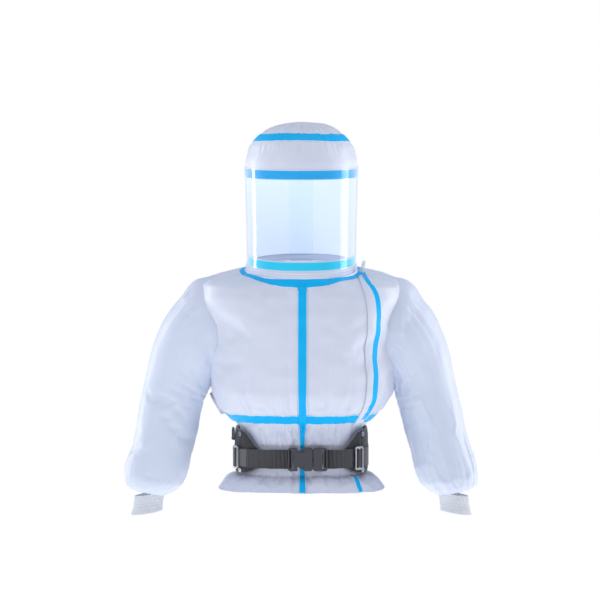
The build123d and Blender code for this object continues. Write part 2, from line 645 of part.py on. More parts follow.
# ---------------------------------------------------------------- fan, motor and filter
def scroll_block(y_low, y_high, inset):
    """The fan scroll's outline with its outlet channel, between two depths."""
    with BuildPart() as block:
        with BuildSketch(Plane.XZ.offset(-y_high)):
            with Locations((FAN_X, FAN_Z)):
                Circle(43 - inset)
            with Locations((OUTLET_X - 1, 16)):
                RectangleRounded(30 - 2 * inset, 66 - 2 * inset, 5)
            with Locations((20, -28)):
                RectangleRounded(74 - 2 * inset, 26 - 2 * inset, 5)
        extrude(amount=y_high - y_low)
    return block.part


scroll_cuts = [
    scroll_block(SCROLL_LOW + 2, SCROLL_HIGH - 2, 2),
    post(FAN_X, FAN_Z, 24, SCROLL_HIGH - 3, SCROLL_HIGH + 1),
    post(FAN_X, FAN_Z, 6, SCROLL_LOW - 1, SCROLL_LOW + 3),
    slab((OUTLET_X - 10, SCROLL_LOW + 4, 40), (OUTLET_X + 10, SCROLL_HIGH - 4, 60)),
]
save(without(scroll_block(SCROLL_LOW, SCROLL_HIGH, 0), *scroll_cuts), "fan_scroll")

with BuildPart() as impeller:
    add(post(FAN_X, FAN_Z, FAN_RADIUS, 151, 152.6, 2))
    add(post(FAN_X, FAN_Z, 8, 152.6, 166, 2))
    add(post(FAN_X, FAN_Z, FAN_RADIUS, 170.5, 172, 23))
    with BuildSketch(Plane.XZ.offset(-171)):
        with Locations((FAN_X, FAN_Z)):
            with PolarLocations(27, 24):
                Rectangle(10, 1.2, rotation=35)
    extrude(amount=171 - 152)
save(impeller.part, "impeller")
save(joined(post(FAN_X, FAN_Z, 2, 134.5, 166), post(FAN_X, FAN_Z, 5.6, 138, 143.5)), "motor_shaft")
motor_outside = post(FAN_X, FAN_Z, 15, 133, SCROLL_LOW)
motor_inside = post(FAN_X, FAN_Z, 13.6, 134.2, 145.4)
motor_boss = post(FAN_X, FAN_Z, 7.5, 134, 137.2, 5.02)
motor_nose = post(FAN_X, FAN_Z, 5.02, 145, SCROLL_LOW + 1)
save(without(joined(without(motor_outside, motor_inside), motor_boss), motor_nose), "motor_can")
save(post(FAN_X, FAN_Z, 13.5, 137.6, 144.4, 6.4), "motor_winding")
bearings = [post(FAN_X, FAN_Z, 5, low, low + 2.4, 2.05) for low in (134.5, 145.5)]
save(joined(*bearings), "motor_bearings")

with BuildPart() as filter_canister:
    add(post(FAN_X, FAN_Z, FILTER_RADIUS - 1, SCROLL_HIGH + 0.5, SCROLL_HIGH + 3, 23))
    add(post(FAN_X, FAN_Z, FILTER_RADIUS - 1, SCROLL_HIGH + 3, 208, FILTER_RADIUS - 3))
save(filter_canister.part, "filter_canister")
with BuildPart() as filter_media:
    with BuildSketch(Plane.XZ.offset(-203)):
        with Locations((FAN_X, FAN_Z)):
            Circle(44.5)
            with GridLocations(6, 90, 14, 1):
                Rectangle(2.2, 92, mode=Mode.SUBTRACT)
    extrude(amount=20)
    add(post(FAN_X, FAN_Z, 44.5, 180.5, 183.5))
save(filter_media.part, "filter_media")

with BuildPart() as filter_cap:
    add(post(FAN_X, FAN_Z, FILTER_RADIUS + 4, CASE_BACK + 0.4, FILTER_CAP_BACK))
    fillet(filter_cap.faces().sort_by(Axis.Y)[-1].edges(), 3)
    with BuildSketch(Plane.XZ.offset(-FILTER_CAP_BACK + 4)):
        with Locations((FAN_X, FAN_Z)):
            Circle(FILTER_RADIUS - 0.5)
    extrude(amount=30, mode=Mode.SUBTRACT)
    with BuildSketch(Plane.XZ.offset(-FILTER_CAP_BACK - 1)):
        with Locations((FAN_X, FAN_Z)):
            for ring, count in ((14, 6), (26, 12), (38, 18)):
                with PolarLocations(ring, count):
                    SlotOverall(8, 3.6)
    extrude(amount=8, mode=Mode.SUBTRACT)
    with BuildSketch(Plane.XZ.offset(-FILTER_CAP_BACK + 5)):
        with Locations((FAN_X, FAN_Z)):
            with PolarLocations(FILTER_RADIUS + 4.2, 12):
                Rectangle(3, 9)
    extrude(amount=10)
save(filter_cap.part, "filter_cap")

# ---------------------------------------------------------------- battery, latch, controls
with BuildPart() as battery_pack:
    add(slab((-71.5, 137.5, CASE_BOTTOM), (71.5, 190.5, -57)))
    fillet(battery_pack.edges().filter_by(Axis.Y), 3)
    with Locations((0, 188.5, -67.5)):
        Box(28, 5, 22, mode=Mode.SUBTRACT)
    with Locations((0, 164, CASE_BOTTOM)):
        Box(60, 16, 5, mode=Mode.SUBTRACT)
save(battery_pack.part, "battery_pack")
with BuildPart() as battery_latch:
    with BuildSketch(Plane.XZ.offset(-CASE_BACK - 1.5)):
        with Locations((0, LATCH_LOW + LATCH_TALL / 2)):
            RectangleRounded(LATCH_WIDE, LATCH_TALL, 3)
    extrude(amount=9.5)
    with BuildSketch(Plane.XZ.offset(-CASE_BACK - 1.5)):
        with Locations((0, LATCH_LOW + LATCH_TALL / 2)):
            with GridLocations(1, 4, 1, 3):
                Rectangle(24, 1.4)
    extrude(amount=0.8, mode=Mode.SUBTRACT)
    with Locations((0, 190.2, LATCH_LOW + 5)):
        Box(18, 4, 7)
save(battery_latch.part, "battery_latch")

with BuildPart() as control_board:
    with Locations((49, 180.8, 6)):
        Box(44, 1.6, 58)
    with Locations((38, 182.6, 24), (64, 182.6, -16)):
        Box(9, 2, 9)
    with Locations((52, 182.3, 14), (52, 182.3, -10)):
        Box(6, 1.4, 6)
save(control_board.part, "control_board")
for name, (x, z, radius) in BUTTONS.items():
    with BuildPart() as button:
        add(post(x, z, radius, 195, CASE_BACK + 1.5))
        fillet(button.faces().sort_by(Axis.Y)[-1].edges(), 0.6)
        add(post(x, z, 2.5, 185.2, 195))
    save(button.part, name)
save(slab((38.2, 196, 30.2), (65.8, CASE_BACK + 0.3, 34.8)), "status_light")

# ---------------------------------------------------------------- outlet, hose and hood inlet
NUT_LOW = {"lower_hose_nut": CASE_TOP + 4, "upper_hose_nut": 405}
ELBOW_Y = ELBOW_START + ELBOW_BEND
ELBOW_LOW = INLET_Z - ELBOW_BEND
HOSE_END = {"lower_hose_nut": (OUTLET_X, OUTLET_Y), "upper_hose_nut": (0, ELBOW_Y)}
spigot_tube = upright_tube(OUTLET_X, OUTLET_Y, CASE_TOP - 2.8, CASE_TOP + 10, 16.5, 12.5)
spigot_flange = upright_tube(OUTLET_X, OUTLET_Y, CASE_TOP + 0.2, CASE_TOP + 3, 20, 12.5)
save(joined(spigot_tube, spigot_flange), "outlet_spigot")
for name, (x, y) in HOSE_END.items():
    with BuildPart() as nut:
        with BuildSketch(Plane.XY.offset(NUT_LOW[name])):
            with Locations((x, y)):
                Circle(21.5)
                with PolarLocations(21.5, 16):
                    Circle(1.5)
                Circle(18, mode=Mode.SUBTRACT)
        extrude(amount=NUT_TALL)
    save(nut.part, name)
lower_fitting = upright_tube(OUTLET_X, OUTLET_Y, CASE_TOP + 10.2, HOSE_LOW, 17.6, 12.5)
upper_fitting = upright_tube(0, ELBOW_Y, HOSE_HIGH, HOSE_HIGH + 21, 17.6, 12.5)
save(joined(lower_fitting, upper_fitting), "hose_fittings")

inlet_tube = post(0, INLET_Z, 19.8, 134, ELBOW_START - 1.2, 14.5)
inlet_plate = post(0, INLET_Z, 30, 142.8, 145.6, 14.5)
save(joined(inlet_tube, inlet_plate), "inlet_flange")
elbow_plane = Plane(origin=(0, ELBOW_START, INLET_Z), x_dir=(1, 0, 0), z_dir=(0, 1, 0))
with BuildPart() as inlet_elbow:
    with BuildSketch(elbow_plane) as elbow_ring:
        Circle(16)
        Circle(12.5, mode=Mode.SUBTRACT)
    revolve(axis=Axis((0, ELBOW_START, ELBOW_LOW), (-1, 0, 0)), revolution_arc=90)
    extrude(elbow_ring.sketch, amount=-1)
elbow_tail = upright_tube(0, ELBOW_Y, HOSE_HIGH + 21.2, ELBOW_LOW, 16, 12.5)
save(joined(inlet_elbow.part, elbow_tail), "inlet_elbow")

HOSE_ROUTE = [
    (OUTLET_X, OUTLET_Y, HOSE_LOW),
    (OUTLET_X, OUTLET_Y, 130),
    (45, 161, 190),
    (22, 159.5, 255),
    (4, 161, 316),
    (0, ELBOW_Y, 361),
    (0, ELBOW_Y, HOSE_HIGH),
]
corners = [Vector(*point) for point in HOSE_ROUTE]
hose_radii = []
for before, corner, after in zip(corners, corners[1:], corners[2:]):
    half_turn = radians((corner - before).get_angle(after - corner)) / 2
    shorter = min((corner - before).length, (after - corner).length)
    hose_radii.append(0.45 * shorter / tan(half_turn))
with BuildPart() as air_hose:
    with BuildLine() as hose_path:
        FilletPolyline(*HOSE_ROUTE, radius=hose_radii)
    with BuildSketch(Plane(origin=corners[0], z_dir=corners[1] - corners[0])):
        Circle(HOSE_RADIUS)
        Circle(HOSE_BORE, mode=Mode.SUBTRACT)
    sweep()
save(air_hose.part, "air_hose")
hose_section = pi * (HOSE_RADIUS**2 - HOSE_BORE**2)
hose_length = hose_path.wires()[0].length
print("hose length", round(hose_length), "radii", [round(radius) for radius in hose_radii])
print("hose volume over section times length", air_hose.part.volume / (hose_section * hose_length))

# Keepers: fabric loops on the suit's back that hold the hose along its way.
KEEPER_TALL, KEEPER_GAP, KEEPER_THICK = 20, 0.8, 2
keeper_spots = [((corners[i] + corners[i + 1]) * 0.5, corners[i + 1] - corners[i]) for i in (1, 2, 3)]
keepers = []
suit_back = lofted(TRUNK, 0.2)
for middle, direction in keeper_spots:
    keeper_plane = Plane(origin=middle, x_dir=direction.cross(Vector(0, 1, 0)), z_dir=direction)
    outside, inside = HOSE_RADIUS + KEEPER_GAP + KEEPER_THICK, HOSE_RADIUS + KEEPER_GAP
    with BuildPart() as keeper:
        with BuildSketch(keeper_plane.offset(-KEEPER_TALL / 2)):
            Circle(outside)
            with Locations((0, 30)):
                Rectangle(2 * outside, 60)
            Circle(inside, mode=Mode.SUBTRACT)
            with Locations((0, 30)):
                Rectangle(2 * inside, 61, mode=Mode.SUBTRACT)
        extrude(amount=KEEPER_TALL)
        add(suit_back, mode=Mode.SUBTRACT)
    keepers.append(keeper.part)
save(joined(*keepers), "hose_keepers")
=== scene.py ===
import json
from functools import partial
from math import cos, pi, radians, sin, tau

import bpy
import numpy as np
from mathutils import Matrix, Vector


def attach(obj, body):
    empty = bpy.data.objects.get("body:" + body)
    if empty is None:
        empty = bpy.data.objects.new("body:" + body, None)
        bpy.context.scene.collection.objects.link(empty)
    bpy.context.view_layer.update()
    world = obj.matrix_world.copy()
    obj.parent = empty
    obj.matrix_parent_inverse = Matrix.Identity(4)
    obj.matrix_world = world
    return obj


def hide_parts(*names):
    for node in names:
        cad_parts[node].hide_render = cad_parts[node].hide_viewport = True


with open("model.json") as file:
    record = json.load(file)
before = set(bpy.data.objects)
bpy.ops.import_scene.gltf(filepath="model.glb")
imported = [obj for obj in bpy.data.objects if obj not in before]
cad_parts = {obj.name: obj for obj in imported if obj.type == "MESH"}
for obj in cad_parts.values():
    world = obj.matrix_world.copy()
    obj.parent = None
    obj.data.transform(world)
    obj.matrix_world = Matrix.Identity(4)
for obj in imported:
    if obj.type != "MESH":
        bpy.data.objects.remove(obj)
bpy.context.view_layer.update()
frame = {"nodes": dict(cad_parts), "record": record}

# Powered air respirator: the fabric, tape, film, webbing and hose pieces are built here round the
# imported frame. Outlines and lifts are in millimetres and every mesh is written in metres.

MM = 0.001
FABRIC, TAPE, FILM, SHARP_DEGREES = 2.5, 0.8, 1.0, 46
LAYER_1, LAYER_2, LAYER_3 = 0.2, 1.2, 2.4
NECK_HEIGHT, NECK_TILT, COLLAR_TALL = 406, 4.5, 15
WAIST_SEAM, WAIST_TAPE_Z, HEM = 70, 85, -70
CROWN_SEAM, CROWN_TILT = 680, -4
VISOR_TOP, VISOR_LOW = 619, 414.6

# Height, half width, half depth, middle y, squareness, tilt to the front
TRUNK = [
    (-70, 178, 128, -14, 2.7, 0),
    (-56, 166, 122, -10, 2.7, 0),
    (-44, 150, 112, -4, 2.7, 0),
    (-36, 130, 103, 0, 2.7, 0),
    (22, 129, 102, 0, 2.7, 0),
    (61, 132, 103, 0, 2.7, 0),
    (80, 153, 119, -6, 2.7, 0),
    (108, 177, 136, -9, 2.7, 0),
    (150, 191, 145, -9, 2.9, 0),
    (215, 192, 149, -9, 3.0, 0),
    (300, 200, 149, -8, 3.0, 0),
    (345, 209, 146, -6, 2.9, 1.5),
    (366, 208, 144, -5, 2.65, 3),
    (380, 196, 143, -4, 2.6, NECK_TILT),
    (389.5, 165, 142, -3, 2.45, NECK_TILT),
    (395, 132, 141, -1, 2.35, NECK_TILT),
    (399, 118, 140, 0, 2.3, NECK_TILT),
]
HOOD = [
    (413.5, 116.5, 140.5, 0, 2.3, NECK_TILT),
    (436, 117, 141, 0, 2.3, NECK_TILT),
    (500, 118, 143, 0, 2.3, 2.5),
    (600, 120.5, 146, 0, 2.3, 0),
    (628, 121, 146, 0, 2.3, 0),
    (656, 113, 137, 2, 2.3, -2.5),
    (680, 98, 121, 4, 2.3, CROWN_TILT),
    (694, 82, 103, 5, 2.25, CROWN_TILT),
    (706, 60, 78, 6, 2.2, -3),
    (713, 34, 46, 7, 2.1, -2),
    (715.5, 12, 16, 7, 2.0, 0),
    (716, 0.6, 0.8, 7, 2.0, 0),
]
# Outer point (x, z), inner point (x, z), half depth, middle y
SLEEVE = [
    (178, 386, 160, 168, 84, -4),
    (222, 378, 183, 166, 87, -4),
    (264, 335, 189, 160, 85, -5),
    (296, 288, 194, 152, 80, -6),
    (319, 228, 200, 140, 73, -7),
    (335, 160, 208, 120, 68, -9),
    (350, 98, 220, 72, 66, -13),
    (364, 30, 236, 8, 65, -19),
    (380, -36, 254, -58, 63, -25),
    (377, -60, 273, -77, 52, -28),
    (361, -76, 291, -87, 35, -30),
]


# ---- curves and noise
def smooth_curve(x, y, at):
    """Monotone cubic interpolation of y over x."""
    x, y = np.asarray(x, float), np.asarray(y, float)
    step = np.diff(x)
    slope = np.diff(y) / step
    tangent = np.zeros_like(y)
    same = slope[:-1] * slope[1:] > 0
    near, far = 2 * step[1:] + step[:-1], step[1:] + 2 * step[:-1]
    before, after = np.where(same, slope[:-1], 1), np.where(same, slope[1:], 1)
    tangent[1:-1] = np.where(same, (near + far) / (near / before + far / after), 0)
    tangent[0], tangent[-1] = slope[0], slope[-1]
    k = np.clip(np.searchsorted(x, at, side="right") - 1, 0, len(step) - 1)
    t = (at - x[k]) / step[k]
    low = (2 * t**3 - 3 * t**2 + 1) * y[k] + (t**3 - 2 * t**2 + t) * step[k] * tangent[k]
    high = (3 * t**2 - 2 * t**3) * y[k + 1] + (t**3 - t**2) * step[k] * tangent[k + 1]
    return low + high


def bell(value, width):
    """1 at zero, falling off to both sides."""
    return np.exp(-((value / width) ** 2))


def unit(vectors):
    return vectors / np.maximum(np.linalg.norm(vectors, axis=-1, keepdims=True), 1e-9)


def running_length(points):
    """The distance along a line of points, at each of them."""
    return np.concatenate([[0], np.cumsum(np.linalg.norm(np.diff(points, axis=0), axis=1))])


def face_middles(grid_points):
    """The middle of each face of a grid that closes on itself sideways."""
    return (grid_points[:-1] + np.roll(grid_points, -1, axis=1)[1:]) / 2


def circle(turn, across, up):
    """Directions round a circle, turn running from 0 to 1."""
    return np.cos(tau * turn)[..., None] * across + np.sin(tau * turn)[..., None] * up


def grid(rows, turns):
    return np.meshgrid(rows, turns, indexing="ij")


def ease(value, low=0.0, high=1.0):
    """0 below low, 1 above high, smooth between."""
    share = np.clip((value - low) / (high - low), 0, 1)
    return share * share * (3 - 2 * share)


def ripple(turn, cells, seed):
    """Smooth noise from -1 to 1 along a closed line, turn running from 0 to 1."""
    values = np.random.default_rng(seed).uniform(-1, 1, cells)
    place = np.asarray(turn) * cells
    cell = np.floor(place).astype(int)
    share = ease(place - cell)
    return values[cell % cells] * (1 - share) + values[(cell + 1) % cells] * share


def cloud(turn, up, cells, seed):
    """Smooth noise from -1 to 1 over a closed band; cells are its counts round and up."""
    round_cells, up_cells = cells
    values = np.random.default_rng(seed).uniform(-1, 1, (round_cells, up_cells + 2))
    place, lift = np.asarray(turn) * round_cells, np.clip(up, 0, 1) * up_cells
    i, j = np.floor(place).astype(int), np.floor(lift).astype(int)
    across, along = ease(place - i), ease(lift - j)
    i, i_next = i % round_cells, (i + 1) % round_cells
    low = values[i, j] * (1 - across) + values[i_next, j] * across
    high = values[i, j + 1] * (1 - across) + values[i_next, j + 1] * across
    return low * (1 - along) + high * along


def gathers(turn, cells, seed):
    """Round folds with sharp valleys, from -1 to 1."""
    return 2 * np.abs(ripple(turn, cells, seed)) ** 0.8 - 1


def puckers(turn, away, seed, reach=1.0):
    """Gathered cloth beside a drawn-in line; away is the distance from it in millimetres."""
    fine = 0.9 * gathers(turn, 190, seed) * np.exp(-away / (13 * reach))
    middle = 1.5 * gathers(turn, 88, seed + 1) * np.exp(-away / (30 * reach))
    broad = 1.9 * gathers(turn + 0.01 * ripple(turn, 30, seed + 3), 40, seed + 2)
    return fine + middle + broad * np.exp(-away / (62 * reach)) * ease(away, -4, 22)


# ---- surfaces
class Shell:
    """A closed fabric surface: rows up an outline, columns round it from the front."""

    def __init__(self, outline, stops, columns):
        self.table = np.array(outline, float)
        steps = np.hypot(np.diff(self.table[:, 0]), np.diff(self.table[:, 1]))
        self.knots = np.concatenate([[0], np.cumsum(steps)])
        fine = np.linspace(0, self.knots[-1], 4000)
        self.fine, self.fine_height = fine, smooth_curve(self.knots, self.table[:, 0], fine)
        rows = []
        for (low, count), (high, _) in zip(stops, stops[1:]):
            rows.append(np.linspace(self.at_height(low), self.at_height(high), count + 1)[:-1])
        self.rows = np.concatenate(rows + [[self.at_height(stops[-1][0])]])
        self.turns = np.arange(columns) / columns
        self.row, self.turn = grid(self.rows, self.turns)
        self.points = self.base(self.row, self.turn)

    def at_height(self, height):
        return np.interp(height, self.fine_height, self.fine)

    def values(self, row):
        return [smooth_curve(self.knots, column, row) for column in self.table.T]

    def reach(self, row, turn):
        """Distance from the middle line to the surface."""
        _, wide, deep, _, power, _ = self.values(row)
        across, along = np.abs(np.sin(tau * turn)) / wide, np.abs(np.cos(tau * turn)) / deep
        return (across**power + along**power) ** (-1 / power)

    def base(self, row, turn):
        height, _, _, middle, _, tilt = self.values(row)
        reach = self.reach(row, turn)
        x, y = reach * np.sin(tau * turn), middle - reach * np.cos(tau * turn)
        return np.stack([x, y, height + y * np.tan(np.radians(tilt))], axis=-1)

    def normals(self):
        along = np.gradient(self.points, self.rows, axis=0)
        around = np.roll(self.points, -1, axis=1) - np.roll(self.points, 1, axis=1)
        return unit(np.cross(around, along))

    def displace(self, amount):
        self.points = self.points + self.normals() * amount[..., None]
        self.normal_grid = self.normals()

    def sample(self, row, turn, lift=0.0):
        """Points of the finished surface at any place, moved out by lift."""
        r = np.clip(np.interp(row, self.rows, np.arange(len(self.rows))), 0, len(self.rows) - 1.001)
        c = (np.asarray(turn) % 1.0) * len(self.turns)
        i, j = np.floor(r).astype(int), np.floor(c).astype(int) % len(self.turns)
        fr, fc = (r - i)[..., None], (c - np.floor(c))[..., None]
        j_next = (j + 1) % len(self.turns)
        found = []
        for grid in (self.points, self.normal_grid):
            low = grid[i, j] * (1 - fc) + grid[i, j_next] * fc
            high = grid[i + 1, j] * (1 - fc) + grid[i + 1, j_next] * fc
            found.append(low * (1 - fr) + high * fr)
        return found[0] + found[1] * np.asarray(lift)[..., None]

    def locate(self, x, z, back=False):
        """The row and turn of the surface point that a level front or back view shows at x, z."""
        height, way = np.array(z, float), -1 if back else 1
        for _ in range(14):
            row = self.at_height(height)
            _, wide, deep, middle, power, tilt = self.values(row)
            share = np.clip(np.abs(x) / wide, 0, 0.9995)
            depth = deep * (1 - share**power) ** (1 / power)
            y = middle - way * depth
            height = 0.4 * height + 0.6 * (z - y * np.tan(np.radians(tilt)))
        return row, np.arctan2(x, way * depth) / tau

    def inside(self, points, share):
        """True for points whose level section of the outline, scaled by share, holds them."""
        height = points[..., 2]
        row = self.at_height(height)
        _, wide, deep, middle, power, _ = self.values(row)
        within = (np.abs(points[..., 0]) / (wide * share)) ** power
        within += (np.abs(points[..., 1] - middle) / (deep * share)) ** power
        return (within < 1) & (height < self.table[-1, 0] - 6) & (height > self.table[0, 0])


# ---- cloth
def settled(points, pins, pressure, slack, cap, frames=16):
    """How far a closed band of cloth moves, blown up between its pinned places.

    Every second row and column is simulated, and the moves between them are averaged.
    """
    coarse, hold = points[::2, ::2], pins[::2, ::2]
    rows, columns = hold.shape
    index = np.arange(rows * columns).reshape(rows, columns)
    right = np.roll(index, -1, axis=1)
    quads = np.stack([index[:-1], right[:-1], right[1:], index[1:]], axis=-1).reshape(-1, 4)
    mesh = bpy.data.meshes.new("cloth_work")
    mesh.from_pydata((coarse.reshape(-1, 3) * MM).tolist(), [], quads.tolist())
    work = place_object("cloth_work", mesh)
    scene = bpy.context.scene
    group = work.vertex_groups.new(name="held")
    flat = hold.ravel()
    for level in np.unique(np.round(flat, 1)):
        if level > 0:
            group.add(np.nonzero(np.round(flat, 1) == level)[0].tolist(), float(level), "REPLACE")
    cloth = work.modifiers.new("cloth", "CLOTH")
    settings = {
        "quality": 5, "mass": 0.2, "tension_stiffness": 14, "compression_stiffness": 14, "shear_stiffness": 5,
        "bending_stiffness": 0.4, "use_pressure": True, "uniform_pressure_force": pressure,
        "vertex_group_mass": "held", "shrink_min": -slack,
    }
    for key, value in settings.items():
        setattr(cloth.settings, key, value)
    cloth.settings.effector_weights.gravity = 0
    cloth.point_cache.frame_start, cloth.point_cache.frame_end = 1, frames
    for step in range(1, frames + 1):
        scene.frame_set(step)
    shaped = work.evaluated_get(bpy.context.evaluated_depsgraph_get())
    places = np.empty(rows * columns * 3)
    shaped.data.vertices.foreach_get("co", places)
    scene.frame_set(1)
    bpy.data.objects.remove(work)
    bpy.data.meshes.remove(mesh)
    move = places.reshape(rows, columns, 3) / MM - coarse
    length = np.linalg.norm(move, axis=-1, keepdims=True)
    move *= np.minimum(1, cap / np.maximum(length, 1e-6))
    full = np.zeros_like(points)
    full[::2, ::2] = move
    full[1::2, ::2] = (move[:-1] + move[1:]) / 2
    full[:, 1::2] = (full[:, ::2] + np.roll(full[:, ::2], -1, axis=1)) / 2
    soft = (full + np.roll(full, 1, axis=1) + np.roll(full, -1, axis=1)) / 3
    soft[1:-1] = (soft[:-2] + soft[1:-1] * 2 + soft[2:]) / 4
    return soft * (1 - ease(pins, 0.5, 1.0))[..., None]


# ---- mesh making
def place_object(name, data):
    """A new object in the scene."""
    item = bpy.data.objects.new(name, data)
    bpy.context.scene.collection.objects.link(item)
    return item


def write_mesh(name, vertices, faces, kinds, materials):
    mesh = bpy.data.meshes.new(name)
    mesh.from_pydata((vertices * MM).tolist(), [], faces)
    mesh.update()
    corners = [f[:3] for f in faces]
    a, b, c = (vertices[[f[k] for f in corners]] for k in range(3))
    quads = [i for i, f in enumerate(faces) if len(f) == 4]
    d = vertices[[faces[i][3] for i in quads]]
    volume = np.einsum("ij,ij->i", a, np.cross(b, c)).sum()
    volume += np.einsum("ij,ij->i", a[quads], np.cross(c[quads], d)).sum()
    if volume < 0:
        mesh.flip_normals()
    for material in materials:
        mesh.materials.append(material)
    mesh.polygons.foreach_set("material_index", kinds)
    mesh.polygons.foreach_set("use_smooth", [True] * len(faces))
    mesh.set_sharp_from_angle(angle=radians(SHARP_DEGREES))
    return place_object(name, mesh)


def slab(outer, inner, wrap=False, keep=None, kind=None, cap=False, lining=None):
    """Vertices, faces and material numbers of a closed sheet between two grids of points."""
    rows, columns = outer.shape[:2]
    count = rows * columns
    index = np.arange(count).reshape(rows, columns)
    right = np.roll(index, -1, axis=1) if wrap else index[:, 1:]
    left = index if wrap else index[:, :-1]
    keep = np.ones(left[:-1].shape, bool) if keep is None else keep
    kind = np.zeros(keep.shape, int) if kind is None else kind
    corners = [left[:-1], right[:-1], right[1:], left[1:]]
    faces = [np.stack([c[keep] for c in corners], axis=1)]
    faces.append(np.stack([c[keep] + count for c in reversed(corners)], axis=1))
    kinds = [kind[keep], kind[keep] if lining is None else np.full(keep.sum(), lining)]
    beyond = np.pad(keep, ((1, 1), (0, 0)))
    if cap:
        beyond[-1] = True
    if wrap:
        sides = np.roll(keep, -1, axis=1), np.roll(keep, 1, axis=1)
    else:
        padded = np.pad(keep, ((0, 0), (1, 1)))
        sides = padded[:, 2:], padded[:, :-2]
    for k, neighbour in enumerate([beyond[:-2], sides[0], beyond[2:], sides[1]]):
        edge = keep & ~neighbour
        p, q = corners[k][edge], corners[(k + 1) % 4][edge]
        faces.append(np.stack([q, p, p + count, q + count], axis=1))
        kinds.append(kind[edge])
    faces, kinds = np.concatenate(faces).tolist(), np.concatenate(kinds).tolist()
    if cap:
        faces += [index[-1].tolist(), (index[-1] + count)[::-1].tolist()]
        kinds += [0, lining or 0]
    vertices = np.concatenate([outer.reshape(-1, 3), inner.reshape(-1, 3)])
    return vertices, faces, kinds


def compact(vertices, faces):
    """Drops the vertices that no face uses."""
    used = np.unique(np.concatenate([np.asarray(f) for f in faces]))
    place = np.full(len(vertices), -1)
    place[used] = np.arange(len(used))
    return vertices[used], [place[np.asarray(f)].tolist() for f in faces]


def build(name, parts, materials):
    """One object out of several (vertices, faces, kinds) groups, in place of the CAD node of its name."""
    vertices, faces, kinds, start = [], [], [], 0
    for part_vertices, part_faces, part_kinds in parts:
        part_vertices, part_faces = compact(np.asarray(part_vertices, float), part_faces)
        vertices.append(part_vertices)
        faces += [[v + start for v in face] for face in part_faces]
        kinds += list(part_kinds)
        start += len(part_vertices)
    piece = write_mesh(name, np.concatenate(vertices), faces, kinds, materials)
    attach(piece, "suit")
    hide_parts(name)
    return piece


def band(shell, row, turn, low=LAYER_1, thick=TAPE, wrap=False, edge=0, keep=None):
    """A tape on a shell; edge is how many outer rows or columns take the second material."""
    outer, inner = shell.sample(row, turn, low + thick), shell.sample(row, turn, low)
    columns = outer.shape[1] if wrap else outer.shape[1] - 1
    kind = np.zeros((outer.shape[0] - 1, columns), int)
    if edge > 0:
        kind[:edge], kind[-edge:] = 1, 1
    if edge < 0:
        kind[:, :-edge], kind[:, edge:] = 1, 1
    return slab(outer, inner, wrap=wrap, kind=kind, keep=keep)


def edged(low, high, count, rim=1.3):
    """Places across a tape with one narrow step at each side, for its pale sealed edges."""
    inner = np.linspace(low + rim, high - rim, count - 1)
    return np.concatenate([[low], inner, [high]])


# ---- materials
def add_node(tree, kind, settings=None, **sockets):
    """A linked shader node; a socket is named, with _ for spaces, or numbered as i0, i1."""
    node = tree.nodes.new("ShaderNode" + kind)
    for key, value in (settings or {}).items():
        setattr(node, key, value)
    for key, value in sockets.items():
        numbered = key[0] == "i" and key[1:].isdigit()
        socket = node.inputs[int(key[1:]) if numbered else key.replace("_", " ")]
        if isinstance(value, bpy.types.NodeSocket):
            tree.links.new(value, socket)
        else:
            socket.default_value = value
    return node


def rgba(colour):
    return (*colour, 1.0)


def blank_material(name):
    """A new material, its node maker and its object coordinates."""
    material = bpy.data.materials.new(name)
    material.use_nodes = True
    material.node_tree.nodes.clear()
    node = partial(add_node, material.node_tree)
    return material, node, node("TexCoord").outputs["Object"]


# Node, its settings, its sockets, and the output that gives the height
TEXTURES = {
    "rib": ("TexWave", {"bands_direction": "Z"}, {"Distortion": 0.4, "Detail": 1.0}, "Fac"),
    "crinkle": ("TexVoronoi", {"feature": "SMOOTH_F1"}, {"Smoothness": 0.7}, "Distance"),
    "mesh": ("TexVoronoi", {"feature": "F1"}, {"Randomness": 0.25}, "Distance"),
    "grain": ("TexNoise", {}, {"Detail": 5.0, "Roughness": 0.65}, "Fac"),
}


def finish(
    name, colour, shade, rough, metal=0.0, sheen=0.0, coat=0.0, gloss_level=0.5, cloud_scale=35.0, bumps=(),
    soft=0.0, painted_glow=0.0,
):
    """A material with blotches of a second shade, uneven gloss and stacked bumps.

    Each bump is (kind, scale, depth in millimetres, strength).
    """
    material, node, place = blank_material(name)
    blotch = node("TexNoise", Vector=place, Scale=cloud_scale, Detail=4.0, Roughness=0.6)
    tint = node(
        "Mix", {"data_type": "RGBA"}, i0=blotch.outputs["Fac"], i6=rgba(colour), i7=rgba(shade)
    )
    speck = node("TexNoise", Vector=place, Scale=cloud_scale * 9, Detail=3.0)
    gloss = node(
        "MapRange", Value=speck.outputs["Fac"], From_Min=0.3, From_Max=0.7,
        To_Min=rough - 0.06, To_Max=rough + 0.07,
    )
    normal = None
    for kind, scale, depth, strength in bumps:
        height = texture_height(node, place, kind, scale)
        sockets = {"Height": height, "Strength": strength, "Distance": depth * MM}
        if normal is not None:
            sockets["Normal"] = normal
        normal = node("Bump", **sockets).outputs["Normal"]
    surface = node(
        "BsdfPrincipled", Base_Color=tint.outputs[2], Roughness=gloss.outputs[0],
        Metallic=metal, Specular_IOR_Level=gloss_level, Sheen_Weight=sheen, Sheen_Roughness=0.4,
        Coat_Weight=coat, Coat_Roughness=0.2,
    )
    if painted_glow:  # painted glow: emission standing in for light shining through the thin cloth from behind
        surface.inputs["Emission Color"].default_value = rgba(colour)
        surface.inputs["Emission Strength"].default_value = painted_glow
    if soft:
        surface.inputs["Subsurface Weight"].default_value = soft
        surface.inputs["Subsurface Scale"].default_value = 0.01
    if normal is not None:
        material.node_tree.links.new(normal, surface.inputs["Normal"])
    node("OutputMaterial", Surface=surface.outputs[0])
    return material


